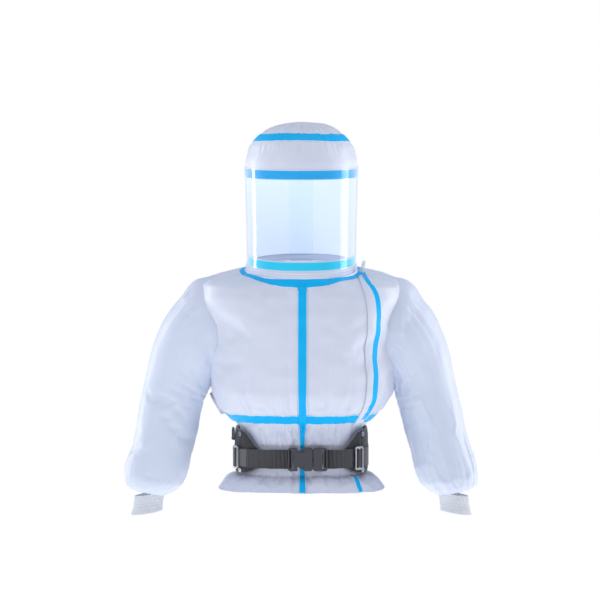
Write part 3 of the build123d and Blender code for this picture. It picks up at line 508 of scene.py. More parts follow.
def texture_height(node, place, kind, scale):
    """The height socket of one bump layer: weave, brushed, or one of TEXTURES."""
    if kind == "weave":
        across = node("TexWave", {"bands_direction": "DIAGONAL"}, Vector=place, Scale=scale)
        along = node("TexWave", {"bands_direction": "Z"}, Vector=place, Scale=scale)
        both = node("Math", {"operation": "MULTIPLY"}, i0=across.outputs["Fac"], i1=along.outputs["Fac"])
        return both.outputs[0]
    if kind == "brushed":
        squash = node("Mapping", Vector=place, Scale=(1.0, 1.0, 14.0))
        noise = node("TexNoise", Vector=squash.outputs[0], Scale=scale, Detail=2.0)
        return noise.outputs["Fac"]
    node_kind, settings, sockets, output = TEXTURES[kind]
    return node(node_kind, settings, Vector=place, Scale=scale, **sockets).outputs[output]


def clear_film(name, tint, haze):
    """Thin clear plastic: see-through, with a gloss that grows toward its edges."""
    material, node, place = blank_material(name)
    waves = node("TexNoise", Vector=place, Scale=11.0, Detail=2.0)
    normal = node(
        "Bump", Height=waves.outputs["Fac"], Strength=0.25, Distance=2 * MM
    ).outputs["Normal"]
    dust = node("TexNoise", Vector=place, Scale=60.0, Detail=6.0)
    rough = node(
        "MapRange", Value=dust.outputs["Fac"], From_Min=0.35, From_Max=0.75,
        To_Min=0.03, To_Max=0.12,
    )
    through = node("BsdfTransparent", Color=rgba(tint))
    gloss = node(
        "BsdfGlossy", Color=(1.0, 1.0, 1.0, 1.0), Roughness=rough.outputs[0], Normal=normal
    )
    facing = node("LayerWeight", Blend=0.5, Normal=normal).outputs["Facing"]
    steep = node("Math", {"operation": "POWER"}, i0=facing, i1=4.0)
    share = node("Math", {"operation": "MULTIPLY_ADD"}, i0=steep.outputs[0], i1=0.8, i2=haze)
    both = node("MixShader", i0=share.outputs[0], i1=through.outputs[0], i2=gloss.outputs[0])
    node("OutputMaterial", Surface=both.outputs[0])
    return material


CRISP = [("grain", 1400, 0.08, 0.35), ("crinkle", 120, 0.5, 0.25), ("grain", 45, 1.2, 0.3)]
SATIN = [("grain", 700, 0.1, 0.3), ("crinkle", 210, 0.3, 0.3)]
MOULDED = [("grain", 1900, 0.05, 0.35), ("grain", 160, 0.15, 0.12)]
FINISHES = {
    "white_laminate": (
        (0.71, 0.757, 0.875), (0.66, 0.71, 0.845), 0.42,
        dict(sheen=0.18, bumps=CRISP, soft=0.04),
    ),
    "blue_tape": ((0.0, 0.50, 0.96), (0.0, 0.44, 0.90), 0.46, dict(gloss_level=0.22, bumps=SATIN)),
    "sleeve_laminate": (
        (0.68, 0.743, 0.880), (0.64, 0.71, 0.86), 0.44,
        dict(sheen=0.18, bumps=CRISP, soft=0.04),
    ),
    "white_knit": (
        (0.78, 0.80, 0.86), (0.70, 0.73, 0.80), 0.8,
        dict(sheen=0.4, bumps=[("weave", 240, 0.5, 0.7), ("grain", 500, 0.2, 0.3)]),
    ),
    "black_webbing": (
        (0.056, 0.055, 0.062), (0.034, 0.033, 0.038), 0.44,
        dict(sheen=0.35, cloud_scale=90, bumps=[("rib", 210, 0.35, 0.8), ("weave", 330, 0.3, 0.6)]),
    ),
    "black_pad": (
        (0.045, 0.045, 0.05), (0.03, 0.03, 0.034), 0.82,
        dict(sheen=0.35, bumps=[("mesh", 420, 0.8, 0.8), ("grain", 900, 0.1, 0.3)]),
    ),
    "black_plastic": ((0.055, 0.055, 0.066), (0.04, 0.04, 0.05), 0.36, dict(coat=0.08, bumps=MOULDED)),
    "grey_plastic": ((0.40, 0.42, 0.45), (0.34, 0.36, 0.39), 0.42, dict(bumps=MOULDED)),
    "white_plastic": ((0.80, 0.81, 0.83), (0.74, 0.75, 0.78), 0.36, dict(bumps=MOULDED)),
    "blue_plastic": ((0.01, 0.24, 0.60), (0.008, 0.19, 0.52), 0.36, dict(bumps=MOULDED)),
    "steel": (
        (0.62, 0.63, 0.65), (0.50, 0.51, 0.53), 0.27,
        dict(metal=1.0, cloud_scale=120, bumps=[("brushed", 900, 0.05, 0.35)]),
    ),
    "zip_tape": (
        (0.70, 0.72, 0.78), (0.62, 0.64, 0.70), 0.6,
        dict(sheen=0.2, bumps=[("weave", 400, 0.2, 0.5)]),
    ),
    "soft_rubber": (
        (0.06, 0.06, 0.065), (0.045, 0.045, 0.05), 0.7,
        dict(bumps=[("grain", 900, 0.08, 0.4)]),
    ),
    "white_rubber": ((0.80, 0.81, 0.82), (0.74, 0.75, 0.77), 0.55, dict(bumps=[("grain", 700, 0.08, 0.3)])),
    "filter_paper": (
        (0.78, 0.76, 0.68), (0.70, 0.68, 0.60), 0.9,
        dict(sheen=0.1, bumps=[("grain", 800, 0.3, 0.6)]),
    ),
    "circuit": (
        (0.02, 0.17, 0.07), (0.015, 0.12, 0.05), 0.4,
        dict(coat=0.3, bumps=[("crinkle", 300, 0.1, 0.4)]),
    ),
    "copper": (
        (0.72, 0.36, 0.20), (0.58, 0.27, 0.14), 0.3,
        dict(metal=1.0, bumps=[("rib", 500, 0.2, 0.7)]),
    ),
    "light_lens": (
        (0.12, 0.60, 0.22), (0.09, 0.5, 0.18), 0.16,
        dict(coat=0.6, bumps=[("rib", 300, 0.15, 0.3)]),
    ),
    "hose_plastic": ((0.30, 0.31, 0.33), (0.24, 0.25, 0.27), 0.45, dict(bumps=MOULDED)),
}
LOOKS = {
    name: finish(name, colour, shade, rough, **rest)
    for name, (colour, shade, rough, rest) in FINISHES.items()
}
LOOKS["clear_film"] = clear_film("clear_film", (0.97, 0.982, 0.995), 0.012)
CYAN = finish("neck_cyan", (0.0, 0.74, 0.98), (0.0, 0.66, 0.94), 0.46, gloss_level=0.22, bumps=SATIN)
SEAL = finish("tape_edge", (0.78, 0.84, 0.93), (0.70, 0.79, 0.91), 0.3, coat=0.2, bumps=SATIN)
TAPE_LOOKS = [LOOKS["blue_tape"], SEAL]
BINDING = finish(
    "pad_binding", (0.20, 0.20, 0.22), (0.15, 0.15, 0.165), 0.72, sheen=0.3, bumps=[("rib", 320, 0.3, 0.7)]
)
# Inside faces of the bodice, skirt and hood: lighter than the outer laminate and given a painted glow
# (emission), standing in for light shining through the thin fabric.
PAINTED_GLOW_LINING = finish("hood_lining_painted_glow", (0.80, 0.85, 0.93), (0.76, 0.82, 0.91), 0.6, sheen=0.1, bumps=CRISP, painted_glow=0.26)
LINED = [LOOKS["white_laminate"], PAINTED_GLOW_LINING]
# Air duct inside the back of the hood: painted glow (emission) standing in for light shining through its
# film.
DUCT_PAINTED_GLOW = finish(
    "duct_film_painted_glow", (0.74, 0.84, 0.93), (0.70, 0.80, 0.91), 0.5, sheen=0.1, painted_glow=0.24,
    bumps=[("grain", 900, 0.1, 0.3), ("crinkle", 90, 0.8, 0.4)],
)
# Lighter grey copy of the black webbing: painted sheen for one stretch of the belt.
WEBBING_PAINTED_SHEEN = finish(
    "webbing_painted_sheen", (0.16, 0.16, 0.175), (0.12, 0.12, 0.13), 0.66, sheen=0.25, cloud_scale=90,
    bumps=[("rib", 210, 0.35, 0.8), ("weave", 330, 0.3, 0.6)],
)
THREAD = finish(
    "thread", (0.22, 0.22, 0.24), (0.17, 0.17, 0.19), 0.7, sheen=0.3, bumps=[("rib", 900, 0.1, 0.6)]
)
for subpart in frame["record"]["subparts"]:
    for material_slot in frame["nodes"][subpart["node"]].material_slots:
        material_slot.material = LOOKS[subpart["material_slot"]]
frame["nodes"]["zip_pull"].material_slots[0].material = LOOKS["white_plastic"]


def near_valve(points, origin, axis, radius):
    """True for points within radius of a valve's axis and near its seat."""
    offset = points - np.array(origin)
    along = offset @ np.array(axis)
    away = np.linalg.norm(offset - along[..., None] * np.array(axis), axis=-1)
    return (away < radius) & (np.abs(along) < 30)


# Place and outward axis of each exhaust valve
VALVES = [((-176, 20, 112), (-0.87, 0, -0.49)), ((-72, 139, 296), (0, 1, 0))]

# ---- trunk surface
trunk = Shell(
    TRUNK, [(HEM, 20), (-36, 24), (22, 20), (WAIST_SEAM, 4), (75, 10), (95, 56), (300, 34), (398.4, 0)], 420
)
height, turn = trunk.values(trunk.row)[0], trunk.turn
x_base, y_base = trunk.points[..., 0], trunk.points[..., 1]
away_tape = np.maximum(np.abs(height - WAIST_TAPE_Z) - 10, 0)
away_belt = np.maximum(np.maximum(height - 24, -24 - height), 0)
away_neck = np.maximum(392 - height, 0)
padded_zone = ((np.abs(x_base) > 86) | (y_base > 0)) & (height > -40) & (height < 64)
belt_zone = 1 - ease(away_belt, 0, 10)
folds = 1.7 * puckers(turn, away_tape, 11) * (0.35 + 0.65 * ease(away_tape, 0, 9)) * ease(height, 40, 60)
folds += puckers(turn, away_belt, 31, 0.9) * (1 - ease(height, 62, 84)) * 1.9
folds += 0.5 * gathers(turn, 70, 51) * np.exp(-away_neck / 22)
folds += 2.6 * cloud(turn, (height - 95) / 300, (13, 5), 61) * ease(height, 95, 160)
folds += 1.0 * cloud(turn, (height - 95) / 300, (34, 14), 62) * ease(height, 90, 140)
folds += 1.6 * cloud(turn, (height + 70) / 60, (24, 3), 63) * (1 - ease(height, -50, -30))
folds -= 1.8 * bell(away_tape, 5) * ease(away_tape, -1, 1)
folds += 2.2 * np.exp(-(((x_base - 2) / 9) ** 2) - ((height - 84) / 8) ** 2) * (y_base < 0)
folds *= 1 - 0.75 * belt_zone
folds = np.where(padded_zone, np.clip(0.25 * folds, -2, 0.5), folds)
folds += 3.5 * ease(height, 24, 31) * (1 - ease(height, 40, 66)) * (1 - padded_zone) * (y_base < 0)
trunk.displace(np.clip(folds, -6, 7))
held = np.maximum(1 - ease(away_tape, 0, 14), 1 - ease(away_belt, 0, 14))
held = np.maximum(held, 1 - ease(away_neck, 0, 16))
held = np.maximum.reduce([held, 1 - ease(height, HEM, HEM + 14), padded_zone * 1.0])
for origin, axis in VALVES:
    held = np.maximum(held, near_valve(trunk.points, origin, axis, 34) * 1.0)
trunk.points = trunk.points + settled(trunk.points, held, 2.0, 0.025, 6.0)
trunk.normal_grid = trunk.normals()
centre = face_middles(trunk.points)
ARM_MIDDLE_Y, ARM_MIDDLE_Z, ARM_DEEP, ARM_TALL = -4, 273, 96, 106
arm = ((centre[..., 1] - ARM_MIDDLE_Y) / ARM_DEEP) ** 2 + ((centre[..., 2] - ARM_MIDDLE_Z) / ARM_TALL) ** 2
bodice_keep = ~((np.abs(centre[..., 0]) > 150) & (arm < 0.86))
for origin, axis in VALVES:
    bodice_keep &= ~near_valve(centre, origin, axis, 25)
seam_row = int(np.argmin(np.abs(trunk.rows - trunk.at_height(WAIST_SEAM))))
trunk_inner = trunk.points - trunk.normal_grid * FABRIC
upper, lower = slice(seam_row, None), slice(0, seam_row + 1)
build(
    "bodice",
    [slab(trunk.points[upper], trunk_inner[upper], wrap=True, keep=bodice_keep[seam_row:], lining=1)],
    LINED,
)
build(
    "waist_skirt", [slab(trunk.points[lower], trunk_inner[lower], wrap=True, lining=1)],
    LINED,
)

# ---- sleeves
SLEEVE_ROWS, SLEEVE_COLUMNS = 151, 190
sleeve_table = np.array(SLEEVE, float)
sleeve_knots = running_length((sleeve_table[:, :2] + sleeve_table[:, 2:4]) / 2)
sleeve_along = np.linspace(0, sleeve_knots[-1], SLEEVE_ROWS)
along, around = grid(sleeve_along, np.arange(SLEEVE_COLUMNS) / SLEEVE_COLUMNS)


def sleeve_points(side, seed):
    """One sleeve's outer and inner grids; +1 is the wearer's left."""
    outer_x, outer_z, inner_x, inner_z, deep, middle = (
        smooth_curve(sleeve_knots, column, along) for column in sleeve_table.T
    )
    across, over = np.cos(tau * around), np.sin(tau * around)
    middle_x, middle_z = (outer_x + inner_x) / 2, (outer_z + inner_z) / 2
    x = side * (middle_x + (outer_x - inner_x) / 2 * across)
    z = middle_z + (outer_z - inner_z) / 2 * across
    points = np.stack([x, middle + deep * over, z], axis=-1)
    ringwise = np.roll(points, -1, axis=1) - np.roll(points, 1, axis=1)
    normal = unit(np.cross(ringwise, np.gradient(points, sleeve_along, axis=0)))
    outward = points - np.stack([side * middle_x, middle, middle_z], axis=-1)
    normal *= np.sign(np.sum(normal * outward, axis=-1).mean())
    end, start = sleeve_knots[-1] - along, along
    inner_side = ease(-across, 0.1, 0.9)
    folds = 1.6 * cloud(around, along / sleeve_knots[-1], (6, 6), seed)
    folds += 0.4 * cloud(around, along / sleeve_knots[-1], (16, 22), seed + 1)
    folds += puckers(around, end, seed + 2, 0.8) * 0.9 * ease(end, 0, 8)
    folds += 0.8 * puckers(around, np.abs(start - 52), seed + 8, 0.7) * ease(start, 20, 60)
    elbow = bell(along - 230, 60)
    folds += 1.3 * elbow * inner_side * gathers(along / 190 + 0.05 * across, 9, seed + 6)
    folds -= 2.0 * bell(end, 7)
    outer = points + normal * np.clip(folds, -7, 6)[..., None]
    held = np.maximum(1 - ease(start, 20, 60), 1 - ease(end, 0, 12))
    outer = outer + settled(outer, held, 3.0, 0.006, 3.0)
    return outer, outer - normal * FABRIC


for side, name, seed in ((-1, "sleeve_right", 101), (1, "sleeve_left", 131)):
    outer, inner = sleeve_points(side, seed)
    keep = ~trunk.inside(face_middles(outer), 0.955)
    build(name, [slab(outer, inner, wrap=True, keep=keep)], [LOOKS["sleeve_laminate"]])

CUFF_RADIUS, CUFF_LONG, CUFF_RIBS = 34, 42, 44
cuff_axis = np.array([70, 0, -11]) / np.hypot(70, 11)
cuff_down = np.array([11, 0, -70]) / np.hypot(70, 11)
cuff_middle = np.array([326, -30, -81.5])
down, spin = grid(np.linspace(0.2, CUFF_LONG, 44), np.arange(352) / 352)
rib = 0.55 * np.cos(tau * spin * CUFF_RIBS) + 0.25 * np.cos(tau * down / 7)
hem_roll = 1.3 * bell(down - CUFF_LONG + 3, 2.4) - 1.0 * bell(down - 21, 9)
cuffs = []
for side in (-1, 1):
    flip = np.array([side, 1, 1])
    rings = []
    for radius in (CUFF_RADIUS - 0.9 + rib + hem_roll, CUFF_RADIUS - FABRIC - 0.4 + 0 * rib):
        ray = circle(spin, cuff_axis, np.array([0, 1, 0]))
        rings.append((cuff_middle + down[..., None] * cuff_down + radius[..., None] * ray) * flip)
    cuffs.append(slab(*rings, wrap=True))
    cuff_vertices, cuff_faces, cuff_kinds = cuffs[-1]
    if side < 0:
        cuffs[-1] = cuff_vertices, [face[::-1] for face in cuff_faces], cuff_kinds
build("elastic_cuffs", cuffs, [LOOKS["white_knit"]])

# ---- hood and visor
hood = Shell(
    HOOD,
    [(413.6, 8), (435.5, 60), (602, 7), (VISOR_TOP, 14), (656, 10), (CROWN_SEAM, 12), (706, 14), (716, 0)],
    300,
)
WINDOW_LOW, WINDOW_TOP, WINDOW_TURN, VISOR_TURN = 435.5, 602, 0.254, 0.277
height, turn = hood.values(hood.row)[0], hood.turn
half_turn = np.abs((turn + 0.5) % 1 - 0.5)
behind = ease(half_turn, 0.25, 0.33)
free = np.maximum(behind, ease(height, VISOR_TOP + 4, 640))
away_crown = np.maximum(np.abs(height - CROWN_SEAM) - 9, 0)
folds = 1.3 * puckers(turn, away_crown, 211, 0.9) * (0.35 + 0.65 * ease(away_crown, 0, 8))
folds *= ease(height, 640, 664)
rise = (height - 420) / 300
folds += 2.0 * cloud(turn, rise, (11, 6), 221) + 0.7 * cloud(turn, rise, (30, 18), 222)
folds += 0.5 * gathers(turn, 60, 231) * np.exp(-(height - 413) / 24)
folds -= 1.3 * bell(away_crown, 4) * ease(away_crown, -1, 1)
folds *= free * (1 - ease(height, 709, 716))
hood.displace(np.clip(folds, -4, 3.5))
film = Shell(HOOD, [(413.6, 20), (500, 20), (VISOR_TOP, 8), (656, 0)], 300)
film.displace(0.35 * cloud(film.turn, (film.values(film.row)[0] - 413) / 210, (9, 3), 241))
crown_row = int(np.argmin(np.abs(hood.rows - hood.at_height(CROWN_SEAM))))
hood_inner = hood.points - hood.normal_grid * FABRIC
row_height = hood.values((hood.rows[:-1] + hood.rows[1:]) / 2)[0][:, None]
turn_middle = np.abs((hood.turns + 0.5 / len(hood.turns) + 0.5) % 1 - 0.5)[None, :]
window = (row_height > WINDOW_LOW) & (row_height < WINDOW_TOP) & (turn_middle < WINDOW_TURN)
inlet = near_valve(face_middles(hood.points), (0, 140, 455), (0, 1, 0), 19)
hood_keep = ~(window | inlet)
upper, lower = slice(crown_row, None), slice(0, crown_row + 1)
build(
    "hood_wall",
    [slab(hood.points[lower], hood_inner[lower], wrap=True, keep=hood_keep[:crown_row], lining=1)],
    LINED,
)
build(
    "hood_crown", [slab(hood.points[upper], hood_inner[upper], wrap=True, cap=True, lining=1)],
    LINED,
)


tape_turns = np.linspace(-VISOR_TURN, VISOR_TURN, 150)
film_row, film_turn = grid(np.linspace(film.at_height(VISOR_LOW), film.at_height(VISOR_TOP), 60), tape_turns)
build(
    "visor_film", [band(film, film_row, film_turn, LAYER_2, FILM)],
    [LOOKS["clear_film"]],
)
crown_turn = np.arange(360) / 360
crown_rows = edged(hood.at_height(CROWN_SEAM - 8.6), hood.at_height(CROWN_SEAM + 8.6), 9)
row, turn = grid(crown_rows, crown_turn)
notch = 4.0 * gathers(turn, 130, 251) * np.abs(ripple(turn, 40, 253)) + 0.9 * ripple(turn, 60, 252)
row = row + notch * (row > crown_rows[4]) * ease(row, crown_rows[4], crown_rows[-1])
tapes = [band(hood, row, turn, wrap=True, edge=1)]
tapes.append(
    band(hood, *grid(edged(hood.at_height(VISOR_TOP - 21), hood.at_height(VISOR_TOP), 8), tape_turns), edge=1)
)
low_vertices, low_faces, low_kinds = band(
    hood, *grid(edged(hood.at_height(VISOR_LOW), hood.at_height(434.5), 8), tape_turns), edge=1,
)
tapes.append((low_vertices, low_faces, [2 if kind == 0 else 1 for kind in low_kinds]))
for side in (-1, 1):
    side_rows = np.linspace(hood.at_height(434.7), hood.at_height(597.8), 60)
    row, turn = grid(side_rows, side * edged(0.2535, VISOR_TURN, 5, 0.002))
    tapes.append(band(hood, row, turn[:, ::side], edge=-1))
build("hood_tapes", tapes, [LOOKS["blue_tape"], SEAL, CYAN])

DUCT_HALF = 26
duct_z, duct_x = grid(np.linspace(424, 668, 90), np.linspace(-DUCT_HALF, DUCT_HALF, 25))
duct_row, duct_turn = hood.locate(duct_x, duct_z, back=True)
duct_puff = np.sqrt(np.clip(1 - (duct_x / DUCT_HALF) ** 2, 0.02, 1))
duct_puff = duct_puff * ease(duct_z, 420, 450) * (1 - ease(duct_z, 655, 669))
duct_wall = hood.sample(duct_row, duct_turn, -3.2)
duct_face = hood.sample(duct_row, duct_turn, -4.4 - 6.6 * duct_puff)
build("hood_duct", [slab(duct_wall, duct_face)], [DUCT_PAINTED_GLOW])

COLLAR_LOW = NECK_HEIGHT - COLLAR_TALL / 2
collar = Shell(
    [(COLLAR_LOW - 1, 119, 143.5, 0, 2.3, NECK_TILT), (NECK_HEIGHT + 8.6, 119, 143.5, 0, 2.3, NECK_TILT)],
    [(COLLAR_LOW + 0.05, 24), (NECK_HEIGHT + COLLAR_TALL / 2 - 0.05, 0)],
    360,
)
across = (collar.values(collar.row)[0] - NECK_HEIGHT) / (COLLAR_TALL / 2)
welt = 0.4 - 2.2 * np.abs(across) ** 5 - 1.1 * bell(across - 0.1, 0.1)
collar.displace(welt + 0.35 * gathers(collar.turn, 90, 261))
collar_in = collar.points - collar.normal_grid * (5.2 + welt)[..., None]
build("neck_collar", [slab(collar.points, collar_in, wrap=True)], [LOOKS["white_laminate"]])

# ---- seam tapes and flap
NECK_TAPE_WIDE = 21
tape_turn = np.arange(480) / 480
neck_rows = np.linspace(trunk.at_height(398), trunk.at_height(366), 160)
neck_points = trunk.base(*grid(neck_rows, tape_turn))
neck_away = np.cumsum(np.linalg.norm(np.diff(neck_points, axis=0, prepend=neck_points[:1]), axis=-1), axis=0)
wide = NECK_TAPE_WIDE - 8 * np.sin(tau * tape_turn) ** 2 + 0.7 * ripple(tape_turn, 70, 271)
outer_row = np.array([np.interp(wide[k], neck_away[:, k], neck_rows) for k in range(len(tape_turn))])
share = edged(0, 1, 9, 0.055)[:, None]
neck_row = outer_row[None, :] * (1 - share) + trunk.at_height(398) * share
build(
    "neck_tape",
    [band(trunk, neck_row, np.broadcast_to(tape_turn, neck_row.shape), wrap=True, edge=1)],
    TAPE_LOOKS,
)
row, turn = grid(edged(trunk.at_height(75.2), trunk.at_height(94.8), 9), tape_turn)
row = row + 1.7 * ripple(turn, 40, 281)
off_valve = ~near_valve(face_middles(trunk.sample(row, turn)), *VALVES[0], 26.5)
build(
    "waist_tape",
    [band(trunk, row, turn, wrap=True, edge=1, keep=off_valve)],
    TAPE_LOOKS,
)

CENTRE_X = 2
centre_z = np.linspace(HEM + 1, 373, 236)
half = smooth_curve([-70, -30, 20, 40, 75, 100, 160, 365], [7.5, 5.5, 3.8, 5.5, 8.6, 9.6, 10, 10], centre_z)
share = edged(-1, 1, 9, 0.11)
centre_x = CENTRE_X + half[:, None] * share[None, :]
row, turn = trunk.locate(centre_x, np.broadcast_to(centre_z[:, None], centre_x.shape))
under_tape = (np.abs(centre_z[:-1] - WAIST_TAPE_Z) < 12) | (centre_z[:-1] > 360)
centre_kind = np.zeros((row.shape[0] - 1, row.shape[1] - 1), int)
centre_kind[~under_tape, :1], centre_kind[~under_tape, -1:] = 1, 1
outer, inner = trunk.sample(row, turn, LAYER_2 + TAPE), trunk.sample(row, turn, LAYER_2)
build(
    "centre_tape", [slab(outer, inner, kind=centre_kind)],
    TAPE_LOOKS,
)

FLAP_INNER = [(66, 106), (94, 123), (126, 133), (174, 139), (300, 139), (358, 133), (392, 121)]
FLAP_OUTER = [
    (66, 124), (83, 135), (97, 146), (126, 158), (173, 163), (236, 166), (300, 169), (341, 166), (379, 148),
    (396, 133),
]


def outline_at(outline, z):
    return smooth_curve([point[0] for point in outline], [point[1] for point in outline], z)


flap_z = np.linspace(67, 389.5, 190)[:, None]
share = np.linspace(0, 1, 17)[None, :]
flap_x = outline_at(FLAP_INNER, flap_z) * (1 - share) + outline_at(FLAP_OUTER, flap_z) * share
flap_z = np.broadcast_to(flap_z, flap_x.shape)
row, turn = trunk.locate(flap_x, flap_z)
puff = 1.4 * np.sin(pi * share) ** 0.6 * np.ones_like(flap_x)
puff -= 0.8 * bell(share - 0.35 - (flap_z - 66) / 300, 0.06) * (1 - ease(flap_z, 110, 150))
puff -= 0.8 * bell(share - 0.6 - (flap_z - 66) / 300, 0.06) * (1 - ease(flap_z, 100, 140))
flap_top, flap_under = trunk.sample(row, turn, LAYER_2 + TAPE + puff), trunk.sample(row, turn, LAYER_2)
build(
    "front_flap", [slab(flap_top, flap_under)],
    [LOOKS["white_laminate"]],
)
edge_z = np.linspace(85, 390.5, 196)[:, None]
share = edged(-13, 0, 7, 1.2)[None, :]
edge_x = outline_at(FLAP_OUTER, edge_z) + share
edge_z = np.broadcast_to(edge_z, edge_x.shape)
row, turn = trunk.locate(edge_x, edge_z)
sealed = [band(trunk, row, turn, LAYER_3 + 0.3, edge=-1)]
skirt_share = np.linspace(0, 1, 24)[:, None]
skirt_z = -40 - 28 * skirt_share + 0 * share
skirt_x = 118 + 14 * skirt_share + share * 0.7
row, turn = trunk.locate(skirt_x, skirt_z)
sealed.append(band(trunk, row, turn, edge=-1))
build("flap_tape", sealed, TAPE_LOOKS)

ZIP_X, ZIP_HALF = 149, 4.5
zip_z = np.linspace(99, 359, 521)[:, None]
share = np.linspace(-1, 1, 13)[None, :]
zip_x = ZIP_X + ZIP_HALF * share + 0 * zip_z
zip_z = np.broadcast_to(zip_z, zip_x.shape)
row, turn = trunk.locate(zip_x, zip_z)
tooth = 0.45 * (np.abs(share) < 0.45) * (np.sin(tau * zip_z / 2.6 + pi * (share > 0)) > 0)
zip_top, zip_under = trunk.sample(row, turn, LAYER_1 + 0.4 + tooth), trunk.sample(row, turn, LAYER_1)
build("zip_chain", [slab(zip_top, zip_under)], [LOOKS["zip_tape"]])

# ---- waist belt
BELT_HALF_WIDTH, BELT_FRONT, BELT_BACK, BELT_CORNER, BELT_TALL = 142.6, -108, 120, 85, 40
corner_x = BELT_HALF_WIDTH - BELT_CORNER
corner_low, corner_high = BELT_FRONT + BELT_CORNER, BELT_BACK - BELT_CORNER


def ring_table():
    """Place, normal and length along the belt's inner face, from the front toward +X."""
    places, facings = [(0.0, BELT_FRONT)], [(0.0, -1.0)]
    for centre_x, centre_y, start in (
        (corner_x, corner_low, -90), (corner_x, corner_high, 0), (-corner_x, corner_high, 90),
        (-corner_x, corner_low, 180),
    ):
        for degree in np.linspace(start, start + 90, 40):
            facing = cos(radians(degree)), sin(radians(degree))
            places.append((centre_x + BELT_CORNER * facing[0], centre_y + BELT_CORNER * facing[1]))
            facings.append(facing)
    places.append((0.0, BELT_FRONT))
    facings.append((0.0, -1.0))
    places, facings = np.array(places), np.array(facings)
    return places, facings, running_length(places)


ring_places, ring_facings, ring_length = ring_table()
RING = ring_length[-1]
STRAP_ROWS = 17


def belt_points(along, out, z):
    """Points at a length along the belt, a distance out from its inner face, at height z."""
    along, out, z = np.broadcast_arrays(along, out, z)
    along = along % RING
    x, y = (np.interp(along, ring_length, ring_places[:, k]) for k in (0, 1))
    face_x, face_y = (np.interp(along, ring_length, ring_facings[:, k]) for k in (0, 1))
    return np.stack([x + face_x * out, y + face_y * out, z], axis=-1)


def strap(start, end, low, high, step=2.0, half_tall=BELT_TALL / 2):
    """A flat strap along the belt between two lengths; low and high are its faces, or functions."""
    stations = np.linspace(start, end, int((end - start) / step))
    z, along = grid(np.linspace(-half_tall, half_tall, STRAP_ROWS), stations)
    faces = [face(along, z) if callable(face) else face + 0 * along for face in (high, low)]
    z = z * (1 + 0.025 * ripple(along / RING, 90, 307))
    return slab(belt_points(along, faces[0], z), belt_points(along, faces[1], z))


def pleated(base, depth, cells, seed):
    """A face with upright pleats that fade toward the strap's edges a little."""
    def face(along, z):
        drift = 4 * ripple(along / RING, cells, seed) + 0.6 * np.sin(z / 7)
        folds = np.abs(np.sin(pi * (along + drift) / 9.5)) ** 0.6
        from_buckle = np.abs((along - 13 + RING / 2) % RING - RING / 2) - 43
        return base + depth * folds * (0.25 + 0.75 * bell(from_buckle, 34))
    return face


def over_bar(middle, base, top, reach, thick):
    """Two faces of webbing that rises over a slide's middle bar."""
    def lower(along, z):
        return base + (top - base) * (1 - ease(np.abs(along - middle), reach * 0.4, reach))
    def upper(along, z):
        return lower(along, z) + thick
    return lower, upper


SOCKET_SIDE, PLUG_SIDE = RING - 29.4, 56.4
straps = [
    strap(48, RING - 21, 0, pleated(1.9, 0.3, 300, 301)),
    strap(PLUG_SIDE, 110, 2.5, pleated(3.7, 2.9, 84, 302), step=1.0),
    strap(RING - 120, SOCKET_SIDE, 2.5, pleated(3.7, 2.9, 84, 303), step=1.0),
]
SLIDES = [57.6 + BELT_CORNER * radians(46), RING - 57.6 - BELT_CORNER * radians(66)]
for middle in SLIDES:
    faces = over_bar(middle, 2.5, 8.4, 7.6, 1.6)
    straps.append(strap(middle - 8.4, middle + 8.4, *faces, step=0.7, half_tall=19.5))


def belt_frame(along, out, z):
    """Origin and (along, out, up) directions at a place on the belt."""
    here = belt_points(along, out, z)
    outward = belt_points(along, out + 1, z) - here
    sideways = np.cross([0, 0, 1], outward)
    return here, sideways, outward, np.array([0, 0, 1.0])


RING_ALONG = RING - 57.6 - BELT_CORNER * radians(82)
RING_PIVOT, STAPLE_IN, STAPLE_OUT = 38, 1.95, 3.7
here, sideways, outward, upward = belt_frame(RING_ALONG, 4.6, RING_PIVOT)
loop_turn, loop_side = grid(np.arange(48) / 48, np.linspace(-5, 5, 9))
loops = []
for radius in (STAPLE_OUT, STAPLE_IN):
    ray = circle(loop_turn, outward, upward)
    loops.append(np.swapaxes(here + radius * ray + loop_side[..., None] * sideways, 0, 1))
straps.append(slab(*loops, wrap=True))
tail_z, tail_side = grid(np.linspace(20, RING_PIVOT, 20), np.linspace(-5, 5, 9))
tails = [
    here + (out - 4.6) * outward + tail_side[..., None] * sideways + (tail_z - RING_PIVOT)[..., None] * upward
    for out in (0.95, 0.35)
]
straps.append(slab(*tails))


def stitch_line(start, end, count, outward, length=0.62, radius=0.42):
    """A row of short rounded stitches between two points."""
    start, end, outward = (np.asarray(value, float) for value in (start, end, outward))
    step = (end - start) / count
    ahead = step / np.linalg.norm(step)
    sideways = np.cross(ahead, outward)
    groups = []
    for k in range(count):
        middle = start + step * (k + 0.5)
        reach = np.linalg.norm(step) * length / 2
        lift, spin = grid(np.linspace(-1, 1, 6), np.arange(8) / 8)
        girth = radius * np.sqrt(np.clip(1 - np.abs(lift) ** 3, 0.03, 1))
        ray = circle(spin, outward, sideways)
        points = middle + (lift * reach)[..., None] * ahead + girth[..., None] * ray
        index = np.arange(48).reshape(6, 8)
        faces = [
            [index[i, j], index[i, (j + 1) % 8], index[i + 1, (j + 1) % 8], index[i + 1, j]]
            for i in range(5) for j in range(8)
        ]
        faces += [index[0, ::-1].tolist(), index[-1].tolist()]
        groups.append((points.reshape(-1, 3), faces, [1] * len(faces)))
    return groups


